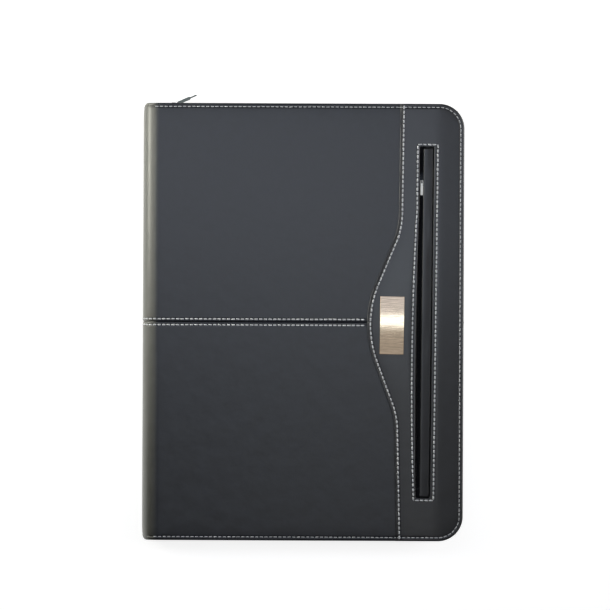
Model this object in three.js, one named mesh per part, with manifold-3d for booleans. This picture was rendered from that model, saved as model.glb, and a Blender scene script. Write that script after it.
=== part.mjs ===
// Zip-round conference folder for A4 paper, closed and lying on its back cover.
// Millimetres, +X from the spine to the free edge, +Y to the top edge, +Z out of the front cover.
// The origin is the centre of the back cover's outer face.

import * as THREE from "three";
import { mergeVertices } from "three/addons/utils/BufferGeometryUtils.js";
import Module from "manifold-3d";

const wasm = await Module();
wasm.setup();

// Driving dimensions

const paperWidth = 210;
const paperHeight = 297;
const spineMargin = 32; // pad to the spine's outer face
const edgeMargin = 15; // pad to the free edge
const endMargin = 26.5; // pad to the top edge, and to the bottom edge
const caseDepth = 29; // back cover's outer face to the front skin's outer face
const cornerRadius = 20; // the two free corners
const spineFlat = 1; // flat part of the spine, between its two round folds
const fit = 0.3; // gap between pieces that touch

const skinThickness = 1.2;
const hemWidth = 4.2; // skin turned in along the zip edges
const foamThickness = 1.2;
const boardThickness = 1.8;
const liningThickness = 0.8;
const boardInset = 5.7; // cover outline to the stiffened layers
const seamGap = 0.3; // between the two halves of the front skin

const tapeInset = 4.5; // cover outline to the zip's side wall
const tapeThickness = 0.8;
const tapeFlange = 3.3; // part of the tape that is sewn into the cover
const toothDepth = 2.6; // across the tape
const toothHeight = 2; // one row, along the wall
const rowGap = 1.4; // between the two rows
const zipSpineGap = 15.5; // spine's outer face to the zip's ends

const sliderLength = 11;
const sliderSpineGap = 24.1; // spine's outer face to the slider's middle, zip closed
const sliderPlate = 0.9;
const sliderLip = 0.6; // how far the plates reach past the teeth
const sliderWeb = 0.8;
const lugHeight = 3;
const lugLength = 4.8;
const lugWidth = 2.2;
const lugWall = 1;
const pullerLength = 20;
const pullerWidth = 5.8;
const pullerThickness = 2.4;
const pullerTip = 1.1; // thickness of the thin end
const pullerTipLength = 5.5;
const pullerBar = 1.2; // diameter of the bar under the lug
const pullerArm = 1.4;
const pullerLean = 23.5; // degrees, off the zip's side wall

const overlayThickness = 1;
const overlayReach = 51.1; // free edge to the panel's folded edge at the top
const overlayDraft = 2.3; // how much further the edge stands out at the bottom
const shoulderHeight = 75.5; // middle of the cover to the shoulders of the nose
const lowerShoulderReach = 3.4; // how much further the lower shoulder stands out than the upper one
const shoulderRadius = 60;
const noseReach = 31.6; // how far the nose's unrounded tip stands out
const noseRadius = 86.6;

const plateWidth = 19.4;
const plateHeight = 46.5;
const plateEdge = 0.8;
const plateCrown = 0.9; // how far its middle stands over its edges
const plateReach = 57.3; // free edge to the plate's middle
const plateDrop = 2.4; // below the cover's middle
const plateLean = 0.85; // degrees
const prongWidth = 3;
const prongThickness = 0.8;
const prongSpacing = 30;
const prongFoot = 3;
const prongPlay = 0.3; // in its slit

const pocketReach = 31; // free edge to the middle of the pocket window
const pocketLean = 0.5; // degrees
const windowWidth = 11.6;
const windowEndMargin = 34.4; // window to the top edge, and to the bottom edge
const windowCorner = 2;
const slotMargin = 0.9; // slot in the skin past the window
const weltThickness = 0.7;
const weltEdgeGap = 0.35; // right-hand side of the window to the welt
const weltWidth = 8.05;
const weltLeg = 0.9;

const pocketZipOffset = -3.9; // zip line, from the middle of the window
const pocketTape = 0.6;
const pocketTapeWidth = 8;
const pocketTapeOverrun = 5; // past the window's ends
const pocketTooth = 1.4;
const pocketToothHeight = 1.6;
const pocketRowGap = 1.2;
const pocketSliderLength = 8;
const pocketSliderPlate = 0.6;
const pocketSliderWeb = 0.6;
const pocketSliderLip = 0.4;
const pocketSliderEndGap = 27.2; // top of the window to the slider's middle, zip closed
const pocketStop = 1.2;
const pocketPullerLength = 11.5;
const pocketPullerWidth = 2;
const pocketPullerThickness = 0.6;
const pocketPullerArm = 0.4;
const pocketLugHeight = 1.6;
const pocketLugLength = 3.2;
const pocketLugRoof = 0.5;
const pocketLugLeg = 0.6;

const bagWidth = 198;
const bagPastZip = 17.9;
const bagOverrun = 9.5; // past the window's ends
const bagDepth = 2;
const bagFabric = 0.3;
const mouthMargin = 0.8; // bag's slit past the slider
const recessMargin = 0.6; // hollow in the foam round the bag
const foamUnderBag = 1.3;

const sleeveSheet = 0.6;
const sleeveRim = 1.2;
const sleeveHeight = 200;
const sleevePlay = 0.6;
const padBoard = 1;
const padStack = 4.5; // all the leaves
const padBinding = 0.4;
const bindingReach = 12;

const loopRadius = 5.2;
const loopWall = 0.8;
const loopLength = 45;
const loopRise = 60; // loop's middle over the cover's middle
const loopPadGap = 9.5; // pad to the loop's middle

const documentSheet = 0.7;
const documentHeight = 185;
const documentSlope = 25;
const cardWidth = 100;
const cardSheet = 0.6;
const cardHeights = [75, 60, 45];
const cardGap = 11.3; // over the document pocket's mouth
const pocketSideMargin = 8; // inner pockets to the lining's edges

const arcStep = Math.PI / 18;

// Derived places

const coverWidth = paperWidth + spineMargin + edgeMargin;
const coverHeight = paperHeight + 2 * endMargin;
const spineX = -coverWidth / 2;
const freeX = coverWidth / 2;
const topY = coverHeight / 2;
const foldRadius = (caseDepth - spineFlat) / 2;
const foldX = spineX + foldRadius;
const padLeft = spineX + spineMargin;
const padRight = padLeft + paperWidth;
const padTop = paperHeight / 2;
const halfDepth = caseDepth / 2;

// Heights in the back cover, from the outer face up
const hemTop = 2 * skinThickness;
const backFoamZ = skinThickness + fit;
const backBoardZ = backFoamZ + foamThickness + fit;
const backLiningZ = backBoardZ + boardThickness + fit;
const backInsideZ = backLiningZ + liningThickness;

// Heights in the front cover, from the outer face down
const frontSkinZ = caseDepth - skinThickness;
const overlayZ = caseDepth + fit;
const overlayTop = overlayZ + overlayThickness;
const pocketTapeZ = frontSkinZ - fit - pocketTape;
const bagTop = pocketTapeZ - fit;
const bagZ = bagTop - bagDepth;
const frontFoamZ = bagZ - fit - foamUnderBag;
const frontBoardZ = frontFoamZ - fit - boardThickness;
const frontLiningZ = frontBoardZ - fit - liningThickness;

// Materials

const finish = (color, roughness, metalness = 0) => ({ color, roughness, metalness });
const finishes = {
  skin: finish("#44454e", 0.5),
  overlay: finish("#3a3a3c", 0.42),
  foam: finish("#c9c5b8", 0.95),
  board: finish("#8c7a5e", 0.9),
  lining: finish("#2b2b2f", 0.85),
  tape: finish("#1e1e21", 0.9),
  teeth: finish("#232326", 0.45),
  gunmetal: finish("#3d4038", 0.35, 1),
  nickel: finish("#b9b2a6", 0.3, 1),
  paper: finish("#f1efe6", 0.9),
  greyboard: finish("#9c9a92", 0.95),
  elastic: finish("#1b1b1d", 0.8),
};

const folder = new THREE.Group();

function piece(name, geometry, look, parent = folder) {
  const mesh = new THREE.Mesh(geometry, new THREE.MeshStandardMaterial(finishes[look]));
  mesh.name = name;
  parent.add(mesh);
  return mesh;
}

// Joining and cutting closed meshes

function toSolid(geometry) {
  const bare = geometry.clone();
  bare.deleteAttribute("normal");
  bare.deleteAttribute("uv");
  const merged = mergeVertices(bare, 1e-4);
  const mesh = new wasm.Mesh({
    numProp: 3,
    vertProperties: new Float32Array(merged.attributes.position.array),
    triVerts: new Uint32Array(merged.index.array),
  });
  return new wasm.Manifold(mesh);
}

function toGeometry(solid) {
  const mesh = solid.getMesh();
  const geometry = new THREE.BufferGeometry();
  geometry.setAttribute("position", new THREE.BufferAttribute(mesh.vertProperties, 3));
  geometry.setIndex(new THREE.BufferAttribute(mesh.triVerts, 1));
  geometry.computeVertexNormals();
  return geometry;
}

function join(...geometries) {
  return toGeometry(geometries.map(toSolid).reduce((whole, next) => whole.add(next)));
}

function cut(geometry, ...tools) {
  return toGeometry(tools.map(toSolid).reduce((rest, tool) => rest.subtract(tool), toSolid(geometry)));
}

function common(first, second) {
  return toGeometry(toSolid(first).intersect(toSolid(second)));
}

// Outlines and extrusions

// Arc round a centre, from one angle to another, as points.
function arc(centreX, centreY, radius, from, to) {
  const steps = Math.max(1, Math.ceil(Math.abs(to - from) / arcStep));
  return Array.from({ length: steps + 1 }, (_, i) => {
    const angle = from + ((to - from) * i) / steps;
    return new THREE.Vector2(centreX + radius * Math.cos(angle), centreY + radius * Math.sin(angle));
  });
}

// A chain of corners [x, y, radius], each with a radius rounded by an arc that touches both its sides.
function rounded(corners) {
  return corners.flatMap(([x, y, radius], i) => {
    const corner = new THREE.Vector2(x, y);
    if (!radius) return [corner];
    const before = corners[(i + corners.length - 1) % corners.length];
    const after = corners[(i + 1) % corners.length];
    const back = new THREE.Vector2(before[0] - x, before[1] - y).normalize();
    const ahead = new THREE.Vector2(after[0] - x, after[1] - y).normalize();
    const half = Math.acos(THREE.MathUtils.clamp(back.dot(ahead), -1, 1)) / 2;
    const centre = back.clone().add(ahead).normalize().multiplyScalar(radius / Math.sin(half)).add(corner);
    const start = back.multiplyScalar(radius / Math.tan(half)).add(corner).sub(centre);
    const end = ahead.multiplyScalar(radius / Math.tan(half)).add(corner).sub(centre);
    const turn = Math.atan2(start.cross(end), start.dot(end));
    return arc(centre.x, centre.y, radius, start.angle(), start.angle() + turn);
  });
}

// The cover's outline, moved in by a margin, with its straight side at the given x.
function coverOutline(inset, left) {
  const radius = cornerRadius - inset;
  return rounded([
    [left, topY - inset],
    [freeX - inset, topY - inset, radius],
    [freeX - inset, inset - topY, radius],
    [left, inset - topY],
  ]);
}

// A band that follows the three zip edges, between two margins of the cover's outline.
function edgeBand(outer, inner, left) {
  return [...coverOutline(outer, left), ...coverOutline(inner, left).reverse()];
}

function slab(points, low, high, holes = []) {
  const shape = new THREE.Shape(points);
  shape.holes = holes.map((hole) => new THREE.Path(hole));
  return new THREE.ExtrudeGeometry(shape, { depth: high - low, bevelEnabled: false }).translate(0, 0, low);
}

// A section drawn in X and Z, carried along Y.
function alongY(points, low, high, holes = []) {
  return slab(points, 0, high - low, holes).rotateX(Math.PI / 2).translate(0, high, 0);
}

// A section drawn in Y and Z, carried along X.
function alongX(points, low, high) {
  return slab(points, 0, high - low).rotateZ(Math.PI / 2).rotateY(Math.PI / 2).translate(low, 0, 0);
}

function block(lowX, highX, lowY, highY, lowZ, highZ) {
  return new THREE.BoxGeometry(highX - lowX, highY - lowY, highZ - lowZ).translate(
    (lowX + highX) / 2,
    (lowY + highY) / 2,
    (lowZ + highZ) / 2,
  );
}

function rectangle(lowX, highX, lowY, highY, radius = 0) {
  return rounded([
    [highX, highY, radius],
    [lowX, highY, radius],
    [lowX, lowY, radius],
    [highX, lowY, radius],
  ]);
}

const upsideDown = (points) => points.map((point) => new THREE.Vector2(point.x, caseDepth - point.y));

// Skins: flat over the cover, then round half of the fold to the slit where the spine's skin goes on

const foldSplit = (5 * Math.PI) / 4; // angle of the slit, seen along -Y round the fold's centre
const slitAngle = fit / (2 * foldRadius);

function skinSection() {
  const down = 1.5 * Math.PI;
  return [
    ...arc(foldX, foldRadius, foldRadius, foldSplit + slitAngle, down),
    new THREE.Vector2(freeX, 0),
    new THREE.Vector2(freeX, skinThickness),
    ...arc(foldX, foldRadius, foldRadius - skinThickness, down, foldSplit + slitAngle),
  ];
}

function hemmedSkin(section, hemLow, hemHigh) {
  const cover = slab(coverOutline(0, spineX), -1, caseDepth + 1);
  const sheet = common(alongY(section, -topY, topY), cover);
  return join(sheet, slab(edgeBand(0, hemWidth, foldX), hemLow, hemHigh));
}

piece("back_skin", hemmedSkin(skinSection(), skinThickness / 2, hemTop), "skin");

// Layers of the back cover

const stiffened = coverOutline(boardInset, foldX + fit);

piece("back_foam", slab(stiffened, backFoamZ, backFoamZ + foamThickness), "foam");
piece("back_board", slab(stiffened, backBoardZ, backBoardZ + boardThickness), "board");
piece("back_lining", slab(stiffened, backLiningZ, backInsideZ), "lining");

// Spine: a shell bent round between the two fold slits, with foam and lining inside it

function spineSection(outer, thickness) {
  const from = foldSplit - slitAngle;
  const upper = 2 * Math.PI - from;
  const side = Math.PI;
  const above = caseDepth - foldRadius;
  return [
    ...arc(foldX, foldRadius, outer, from, side),
    ...arc(foldX, above, outer, side, upper),
    ...arc(foldX, above, outer - thickness, upper, side),
    ...arc(foldX, foldRadius, outer - thickness, side, from),
  ];
}

const spineFoamRadius = foldRadius - skinThickness - fit;
const spineLiningRadius = spineFoamRadius - foamThickness - fit;

piece("spine_skin_upper", alongY(spineSection(foldRadius, skinThickness), seamGap / 2, topY), "skin");
piece("spine_skin_lower", alongY(spineSection(foldRadius, skinThickness), -topY, -seamGap / 2), "skin");
piece("spine_foam", alongY(spineSection(spineFoamRadius, foamThickness), hemWidth - topY, topY - hemWidth), "foam");
piece(
  "spine_lining",
  alongY(spineSection(spineLiningRadius, liningThickness), hemWidth - topY, topY - hemWidth),
  "lining",
);

// Main zip: a tape in each cover, sewn in flat and then turned up into the side wall, with a row of teeth

const zipX = spineX + zipSpineGap;
const wallInner = tapeInset + tapeThickness;
const toothOuter = tapeInset + tapeThickness / 2 - toothDepth / 2;
const toothInner = toothOuter + toothDepth;
const backRowTop = halfDepth - rowGap / 2;
const backRowZ = backRowTop - toothHeight;
const tapeZ = hemTop + fit;

function zipTape(mirrored) {
  const level = (z) => (mirrored ? caseDepth - z : z);
  const layer = (points, from, to) => slab(points, Math.min(level(from), level(to)), Math.max(level(from), level(to)));
  return join(
    layer(edgeBand(wallInner - tapeThickness - tapeFlange, wallInner, zipX), tapeZ, tapeZ + tapeThickness),
    layer(edgeBand(tapeInset, wallInner, zipX), tapeZ, backRowZ - fit),
  );
}

const teethBand = edgeBand(toothOuter, toothInner, zipX);

piece("back_zip_tape", zipTape(false), "tape");
piece("back_zip_teeth", slab(teethBand, backRowZ, backRowTop), "teeth");
piece("front_zip_tape", zipTape(true), "tape");
piece("front_zip_teeth", slab(teethBand, caseDepth - backRowTop, caseDepth - backRowZ), "teeth");

// Stops at the zip's ends, clear of the teeth's cut ends. The lower one is on the back row alone.
const stopLength = 1.4;

function zipStop(name, sideY, low, high) {
  const outerY = topY - toothOuter;
  const innerY = topY - toothInner;
  const lowY = sideY > 0 ? innerY : -outerY;
  const highY = sideY > 0 ? outerY : -innerY;
  piece(name, block(zipX - fit - stopLength, zipX - fit, lowY, highY, low, high), "gunmetal");
}

zipStop("zip_top_stop_back", 1, backRowZ, backRowTop);
zipStop("zip_top_stop_front", 1, caseDepth - backRowTop, caseDepth - backRowZ);
zipStop("zip_end_stop", -1, backRowZ, backRowTop);

// Main slider: two plates joined by a web that runs between the rows, and a lug on the outer plate

const slider = new THREE.Group();
slider.position.set(spineX + sliderSpineGap, topY - toothOuter + fit, halfDepth);
folder.add(slider);

const sliderHalf = sliderLength / 2;
const sliderReach = rowGap / 2 + toothHeight + sliderLip;
const sliderInside = -(toothDepth + 2 * fit);
const noseCut = 2; // chamfer at the slider's closing end

function sliderPlateOutline(half, reach, chamfer) {
  return [
    [-half, -reach],
    [half - chamfer, -reach],
    [half, chamfer - reach],
    [half, reach - chamfer],
    [half - chamfer, reach],
    [-half, reach],
  ].map(([x, y]) => new THREE.Vector2(x, y));
}

const sliderFace = sliderPlateOutline(sliderHalf, sliderReach, noseCut);
const lugTop = sliderPlate + lugHeight;

function lugArch(length, wall, roof, base, top) {
  const half = length / 2;
  const corner = roof;
  return [
    [-half, base],
    [-half, top - corner],
    [corner - half, top],
    [half - corner, top],
    [half, top - corner],
    [half, base],
    [half - wall, base],
    [half - wall, top - roof],
    [wall - half, top - roof],
    [wall - half, base],
  ].map(([x, y]) => new THREE.Vector2(x, y));
}

piece(
  "main_zip_slider",
  join(
    alongY(sliderFace, 0, sliderPlate),
    alongY(sliderFace, sliderInside - sliderPlate, sliderInside),
    block(-sliderHalf, 0, sliderInside - sliderPlate / 2, sliderPlate / 2, -sliderWeb / 2, sliderWeb / 2),
    slab(lugArch(lugLength, lugWall, lugWall, sliderPlate / 2, lugTop), -lugWidth / 2, lugWidth / 2),
  ),
  "gunmetal",
  slider,
);

// Main puller: a bar under the lug, two arms past it, and a thick blade with a thin end

const puller = new THREE.Group();
puller.position.set(0, (sliderPlate + lugTop - lugWall) / 2, 0);
puller.rotation.z = THREE.MathUtils.degToRad(pullerLean);
slider.add(puller);

const bladeStart = Math.hypot(lugLength / 2, lugHeight / 2) + 2 * fit;
const armOverlap = 0.8;
const armInner = pullerWidth / 2 - pullerArm;
const bar = new THREE.CylinderGeometry(pullerBar / 2, pullerBar / 2, pullerWidth, 16).rotateX(Math.PI / 2);
const arm = block(0, bladeStart + armOverlap, -pullerBar / 2, pullerBar / 2, armInner, armInner + pullerArm);
const tipRound = pullerTip / 2;
const bladeStep = pullerLength - pullerTipLength;
const blade = slab(
  [
    new THREE.Vector2(bladeStart, -pullerThickness / 2),
    new THREE.Vector2(bladeStep - tipRound, -pullerThickness / 2),
    new THREE.Vector2(bladeStep, -tipRound),
    ...arc(pullerLength - tipRound, 0, tipRound, -Math.PI / 2, Math.PI / 2),
    new THREE.Vector2(bladeStep, tipRound),
    new THREE.Vector2(bladeStep - tipRound, pullerThickness / 2),
    new THREE.Vector2(bladeStart, pullerThickness / 2),
  ],
  -pullerWidth / 2,
  pullerWidth / 2,
);

piece(
  "main_zip_puller",
  join(bar, arm, arm.clone().translate(0, 0, -pullerWidth + pullerArm), blade),
  "gunmetal",
  puller,
);

// Front cover: the pocket's own frame, its middle at the window's middle, turned a little

const pocket = new THREE.Group();
pocket.position.set(freeX - pocketReach, 0, 0);
pocket.rotation.z = -THREE.MathUtils.degToRad(pocketLean);
pocket.updateMatrix();
folder.add(pocket);

const inPocketFrame = (geometry) => geometry.applyMatrix4(pocket.matrix);
const windowHalf = topY - windowEndMargin;
const windowSide = windowWidth / 2;
const slotSide = windowSide + slotMargin;

// Plate: its frame, and the two slits for its prongs

const plate = new THREE.Group();
plate.position.set(freeX - plateReach, -plateDrop, 0);
plate.rotation.z = -THREE.MathUtils.degToRad(plateLean);
plate.updateMatrix();
folder.add(plate);

const prongSides = [-1, 1];
const slitHalf = prongWidth / 2 + prongPlay;

function prongSlit(side) {
  const middle = (side * prongSpacing) / 2;
  const half = prongThickness / 2 + prongPlay;
  return block(-slitHalf, slitHalf, middle - half, middle + half, frontSkinZ - 1, overlayTop + 1).applyMatrix4(
    plate.matrix,
  );
}

const prongSlits = prongSides.map(prongSlit);

// Front skin in two halves, with the slot for the pocket zip

const frontSkin = cut(
  hemmedSkin(upsideDown(skinSection()), caseDepth - hemTop, caseDepth - skinThickness / 2),
  inPocketFrame(
    slab(rectangle(-slotSide, slotSide, -windowHalf - slotMargin, windowHalf + slotMargin), frontSkinZ - 1, overlayZ),
  ),
  ...prongSlits,
);
const farAway = 2 * (coverWidth + coverHeight);
const skinHalf = (low, high) => common(frontSkin, block(-farAway, farAway, low, high, -farAway, farAway));

piece("front_skin_upper", skinHalf(seamGap / 2, farAway), "skin");
piece("front_skin_lower", skinHalf(-farAway, -seamGap / 2), "skin");

// Overlay panel: its folded edge swings out in a nose at mid height

const overlayTopX = freeX - overlayReach;
const overlayBottomX = overlayTopX - overlayDraft;
const shoulderX = (overlayTopX + overlayBottomX) / 2;
const overlayPoints = rounded([
  [overlayTopX, topY],
  [freeX, topY, cornerRadius],
  [freeX, -topY, cornerRadius],
  [overlayBottomX, -topY],
  [shoulderX - lowerShoulderReach, -shoulderHeight, shoulderRadius],
  [shoulderX - noseReach, 0, noseRadius],
  [shoulderX, shoulderHeight, shoulderRadius],
]);

piece(
  "overlay_panel",
  cut(
    slab(overlayPoints, overlayZ, overlayTop),
    inPocketFrame(
      slab(rectangle(-windowSide, windowSide, -windowHalf, windowHalf, windowCorner), overlayZ - 1, overlayTop + 1),
    ),
    ...prongSlits,
  ),
  "overlay",
);

// Metal plate, crowned along its height, with prongs that are bent over behind the skin

const plateZ = overlayTop + fit;
const plateHalf = plateHeight / 2;
const crownRadius = (plateHalf ** 2 + plateCrown ** 2) / (2 * plateCrown);
const crownAngle = Math.asin(plateHalf / crownRadius);
const crownSteps = 16;
const crown = Array.from({ length: crownSteps + 1 }, (_, i) => {
  const angle = crownAngle * (1 - (2 * i) / crownSteps);
  return new THREE.Vector2(
    crownRadius * Math.sin(angle),
    plateZ + plateEdge + plateCrown - crownRadius * (1 - Math.cos(angle)),
  );
});
const plateBody = alongX(
  [new THREE.Vector2(-plateHalf, plateZ), new THREE.Vector2(plateHalf, plateZ), ...crown],
  -plateWidth / 2,
  plateWidth / 2,
);
const footThickness = 0.4;
const footTop = frontSkinZ - fit;

function prong(side) {
  const middle = (side * prongSpacing) / 2;
  const low = middle - prongThickness / 2;
  const high = middle + prongThickness / 2;
  const half = prongWidth / 2;
  const footEnd = side > 0 ? low - prongFoot : high + prongFoot;
  return [
    block(-half, half, low, high, footTop - footThickness, plateZ + plateEdge / 2),
    block(-half, half, Math.min(low, footEnd), Math.max(high, footEnd), footTop - footThickness, footTop),
  ];
}

piece("metal_plate", join(plateBody, ...prongSides.flatMap(prong)), "nickel", plate);

// Layers of the front cover, with the foam hollowed for the pocket bag

const bagRight = bagPastZip + pocketZipOffset;
const bagLeft = bagRight - bagWidth;
const bagHalf = windowHalf + bagOverrun;
const frontFoam = cut(
  slab(stiffened, frontFoamZ, frontSkinZ - fit),
  inPocketFrame(
    block(
      bagLeft - recessMargin,
      bagRight + recessMargin,
      -bagHalf - recessMargin,
      bagHalf + recessMargin,
      bagZ - fit,
      caseDepth,
    ),
  ),
);

piece("front_foam", frontFoam, "foam");
piece("front_board", slab(stiffened, frontBoardZ, frontBoardZ + boardThickness), "board");
piece("front_lining", slab(stiffened, frontLiningZ, frontLiningZ + liningThickness), "lining");

// Pocket welt: a flap over the zip, on a leg that stands on the right-hand tape

const weltRight = windowSide - weltEdgeGap;
const weltTop = overlayTop - 0.1;
const weltSection = [
  [weltRight - weltWidth, weltTop - weltThickness],
  [weltRight - weltLeg, weltTop - weltThickness],
  [weltRight - weltLeg, pocketTapeZ + pocketTape + fit],
  [weltRight, pocketTapeZ + pocketTape + fit],
  [weltRight, weltTop],
  [weltRight - weltWidth, weltTop],
].map(([x, z]) => new THREE.Vector2(x, z));
const weltHalf = windowHalf - windowCorner;

piece("pocket_welt", alongY(weltSection, -weltHalf, weltHalf), "overlay", pocket);

// Pocket zip: two flat tapes, two rows of teeth and their stops

const pocketToothZ = pocketTapeZ + pocketTape / 2 - pocketToothHeight / 2;
const pocketToothTop = pocketToothZ + pocketToothHeight;
const rowInner = pocketRowGap / 2;
const rowOuter = rowInner + pocketTooth;
const tapeHalf = windowHalf + pocketTapeOverrun;
const pocketSliderY = windowHalf - pocketSliderEndGap;
const pocketSliderHalf = pocketSliderLength / 2;
const pocketTravel = pocketSliderY - pocketPullerLength + windowHalf - pocketStop;
const topStopY = pocketSliderY + pocketSliderHalf + fit;
const bottomStopY = pocketSliderY - pocketSliderHalf - pocketTravel - 2 * fit;

[
  ["left", -1],
  ["right", 1],
].forEach(([side, sign]) => {
  const across = (near, far) => {
    const ends = [pocketZipOffset + sign * near, pocketZipOffset + sign * far];
    return [Math.min(...ends), Math.max(...ends)];
  };
  const tapeX = across(rowOuter + fit, rowOuter + fit + pocketTapeWidth);
  const teethX = across(rowInner, rowOuter);
  piece(
    `pocket_tape_${side}`,
    block(...tapeX, -tapeHalf, tapeHalf, pocketTapeZ, pocketTapeZ + pocketTape),
    "tape",
    pocket,
  );
  piece(`pocket_teeth_${side}`, block(...teethX, bottomStopY, topStopY, pocketToothZ, pocketToothTop), "teeth", pocket);
});

const stopX = [pocketZipOffset - rowOuter, pocketZipOffset + rowOuter];

piece(
  "pocket_top_stop",
  block(...stopX, topStopY + fit, topStopY + fit + pocketStop, pocketToothZ, pocketToothTop),
  "nickel",
  pocket,
);
piece(
  "pocket_bottom_stop",
  block(...stopX, bottomStopY - fit - pocketStop, bottomStopY - fit, pocketToothZ, pocketToothTop),
  "nickel",
  pocket,
);

// Pocket bag: two layers of lining cloth, sewn round, with a slit under the zip

const mouthHalf = rowOuter + pocketSliderLip + mouthMargin;
const bagSolid = cut(
  block(bagLeft, bagRight, -bagHalf, bagHalf, bagZ, bagTop),
  block(
    bagLeft + bagFabric,
    bagRight - bagFabric,
    bagFabric - bagHalf,
    bagHalf - bagFabric,
    bagZ + bagFabric,
    bagTop - bagFabric,
  ),
  block(
    pocketZipOffset - mouthHalf,
    pocketZipOffset + mouthHalf,
    -windowHalf,
    windowHalf,
    bagZ + 2 * bagFabric,
    bagTop + 1,
  ),
);

piece("pocket_bag", bagSolid, "lining", pocket);

// Pocket slider and puller, made as the main ones are, lying flat

const pocketSlider = new THREE.Group();
pocketSlider.position.set(pocketZipOffset, pocketSliderY, 0);
pocket.add(pocketSlider);

const pocketPlateZ = pocketToothTop + fit;
const pocketPlateTop = pocketPlateZ + pocketSliderPlate;
const pocketUnderTop = pocketToothZ - fit;
const pocketFace = sliderPlateOutline(pocketSliderHalf, rowOuter + pocketSliderLip, 1).map(
  (point) => new THREE.Vector2(point.y, -point.x),
);
const pocketLugTop = pocketPlateTop + pocketLugHeight;
const pocketLugWidth = pocketPullerWidth - 2 * (pocketPullerArm + fit);
const pocketLug = alongX(
  lugArch(pocketLugLength, pocketLugLeg, pocketLugRoof, pocketPlateTop - pocketSliderPlate / 2, pocketLugTop),
  -pocketLugWidth / 2,
  pocketLugWidth / 2,
);

piece(
  "pocket_slider",
  join(
    slab(pocketFace, pocketPlateZ, pocketPlateTop),
    slab(pocketFace, pocketUnderTop - pocketSliderPlate, pocketUnderTop),
    block(
      -pocketSliderWeb / 2,
      pocketSliderWeb / 2,
      0,
      pocketSliderHalf,
      pocketUnderTop - pocketSliderPlate / 2,
      pocketPlateZ + pocketSliderPlate / 2,
    ),
    pocketLug,
  ),
  "nickel",
  pocketSlider,
);

const pocketPuller = new THREE.Group();
pocketPuller.position.set(0, 0, (pocketPlateTop + pocketLugTop - pocketLugRoof) / 2);
pocketSlider.add(pocketPuller);

const pocketBarHalf = (pocketLugHeight - pocketLugRoof) / 2 - fit;
const pocketArmOuter = pocketPullerWidth / 2;
const pocketArmInner = pocketArmOuter - pocketPullerArm;
const pocketBladeStart = Math.hypot(pocketLugLength / 2, pocketLugHeight / 2) + fit;
const pullerHalf = pocketPullerThickness / 2;
const pocketBar = block(-pocketArmOuter, pocketArmOuter, -pocketBarHalf, pocketBarHalf, -pocketBarHalf, pocketBarHalf);
const pocketArms = prongSides.map((side) => {
  const ends = [side * pocketArmInner, side * pocketArmOuter];
  return block(Math.min(...ends), Math.max(...ends), -pocketBladeStart - fit, pocketBarHalf, -pullerHalf, pullerHalf);
});
const pocketBlade = slab(
  rectangle(-pocketArmOuter, pocketArmOuter, -pocketPullerLength, -pocketBladeStart, pocketPullerArm),
  -pullerHalf,
  pullerHalf,
);

piece("pocket_puller", join(pocketBar, ...pocketArms, pocketBlade), "nickel", pocketPuller);

// Inside the back cover: sleeve, pad and pen loop

const bindingZ = backInsideZ + fit;
const padBoardZ = bindingZ + padBinding + fit;
const sleeveZ = padBoardZ + padBoard + fit;
const leavesZ = sleeveZ + sleeveSheet + fit;
const leavesTop = leavesZ + padStack;
const bindingTop = leavesTop + fit + padBinding;
const sleeveOuter = sleevePlay + sleeveRim;

piece(
  "pad_sleeve",
  cut(
    block(
      padLeft - sleeveOuter,
      padRight + sleeveOuter,
      -padTop - sleeveOuter,
      -padTop + sleeveHeight,
      backInsideZ + fit,
      sleeveZ + sleeveSheet,
    ),
    block(padLeft - sleevePlay, padRight + sleevePlay, -padTop - sleevePlay, topY, 0, sleeveZ),
  ),
  "lining",
);
piece("pad_backing_board", block(padLeft, padRight, -padTop, padTop, padBoardZ, padBoardZ + padBoard), "greyboard");
piece("pad_leaves", block(padLeft, padRight, -padTop, padTop, leavesZ, leavesTop), "paper");

const bindingBack = padTop + fit + padBinding;
const bindingSection = [
  [padTop - bindingReach, bindingZ],
  [bindingBack, bindingZ],
  [bindingBack, bindingTop],
  [padTop - bindingReach, bindingTop],
  [padTop - bindingReach, bindingTop - padBinding],
  [bindingBack - padBinding, bindingTop - padBinding],
  [bindingBack - padBinding, bindingZ + padBinding],
  [padTop - bindingReach, bindingZ + padBinding],
].map(([y, z]) => new THREE.Vector2(y, z));

piece("pad_binding", alongX(bindingSection, padLeft, padRight), "elastic");

const loopX = padLeft - loopPadGap;
const loopZ = backInsideZ + fit + loopRadius;
const round = (radius) => arc(loopX, loopZ, radius, 0, 2 * Math.PI).slice(0, -1);

piece(
  "pen_loop",
  alongY(round(loopRadius), loopRise - loopLength / 2, loopRise + loopLength / 2, [round(loopRadius - loopWall)]),
  "elastic",
);

// Inside the front cover: document pocket with a slanting mouth, and stepped card pockets

const liningLeft = foldX + fit + pocketSideMargin;
const liningRight = freeX - boardInset - pocketSideMargin;
const liningBottom = boardInset + pocketSideMargin - topY;
const documentTop = frontLiningZ - fit;
const documentOutline = [
  [liningLeft, liningBottom],
  [liningRight, liningBottom],
  [liningRight, liningBottom + documentHeight - documentSlope],
  [liningLeft, liningBottom + documentHeight],
].map(([x, y]) => new THREE.Vector2(x, y));

piece("document_pocket", slab(documentOutline, documentTop - documentSheet, documentTop), "lining");

const cardBottom = liningBottom + documentHeight + cardGap;

cardHeights.forEach((height, i) => {
  const top = frontLiningZ - fit - i * (cardSheet + fit);
  const left = liningLeft + pocketSideMargin;
  piece(
    `card_pocket_${i + 1}`,
    block(left, left + cardWidth, cardBottom, cardBottom + height, top - cardSheet, top),
    "lining",
  );
});

export default folder;
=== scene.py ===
import math

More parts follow.
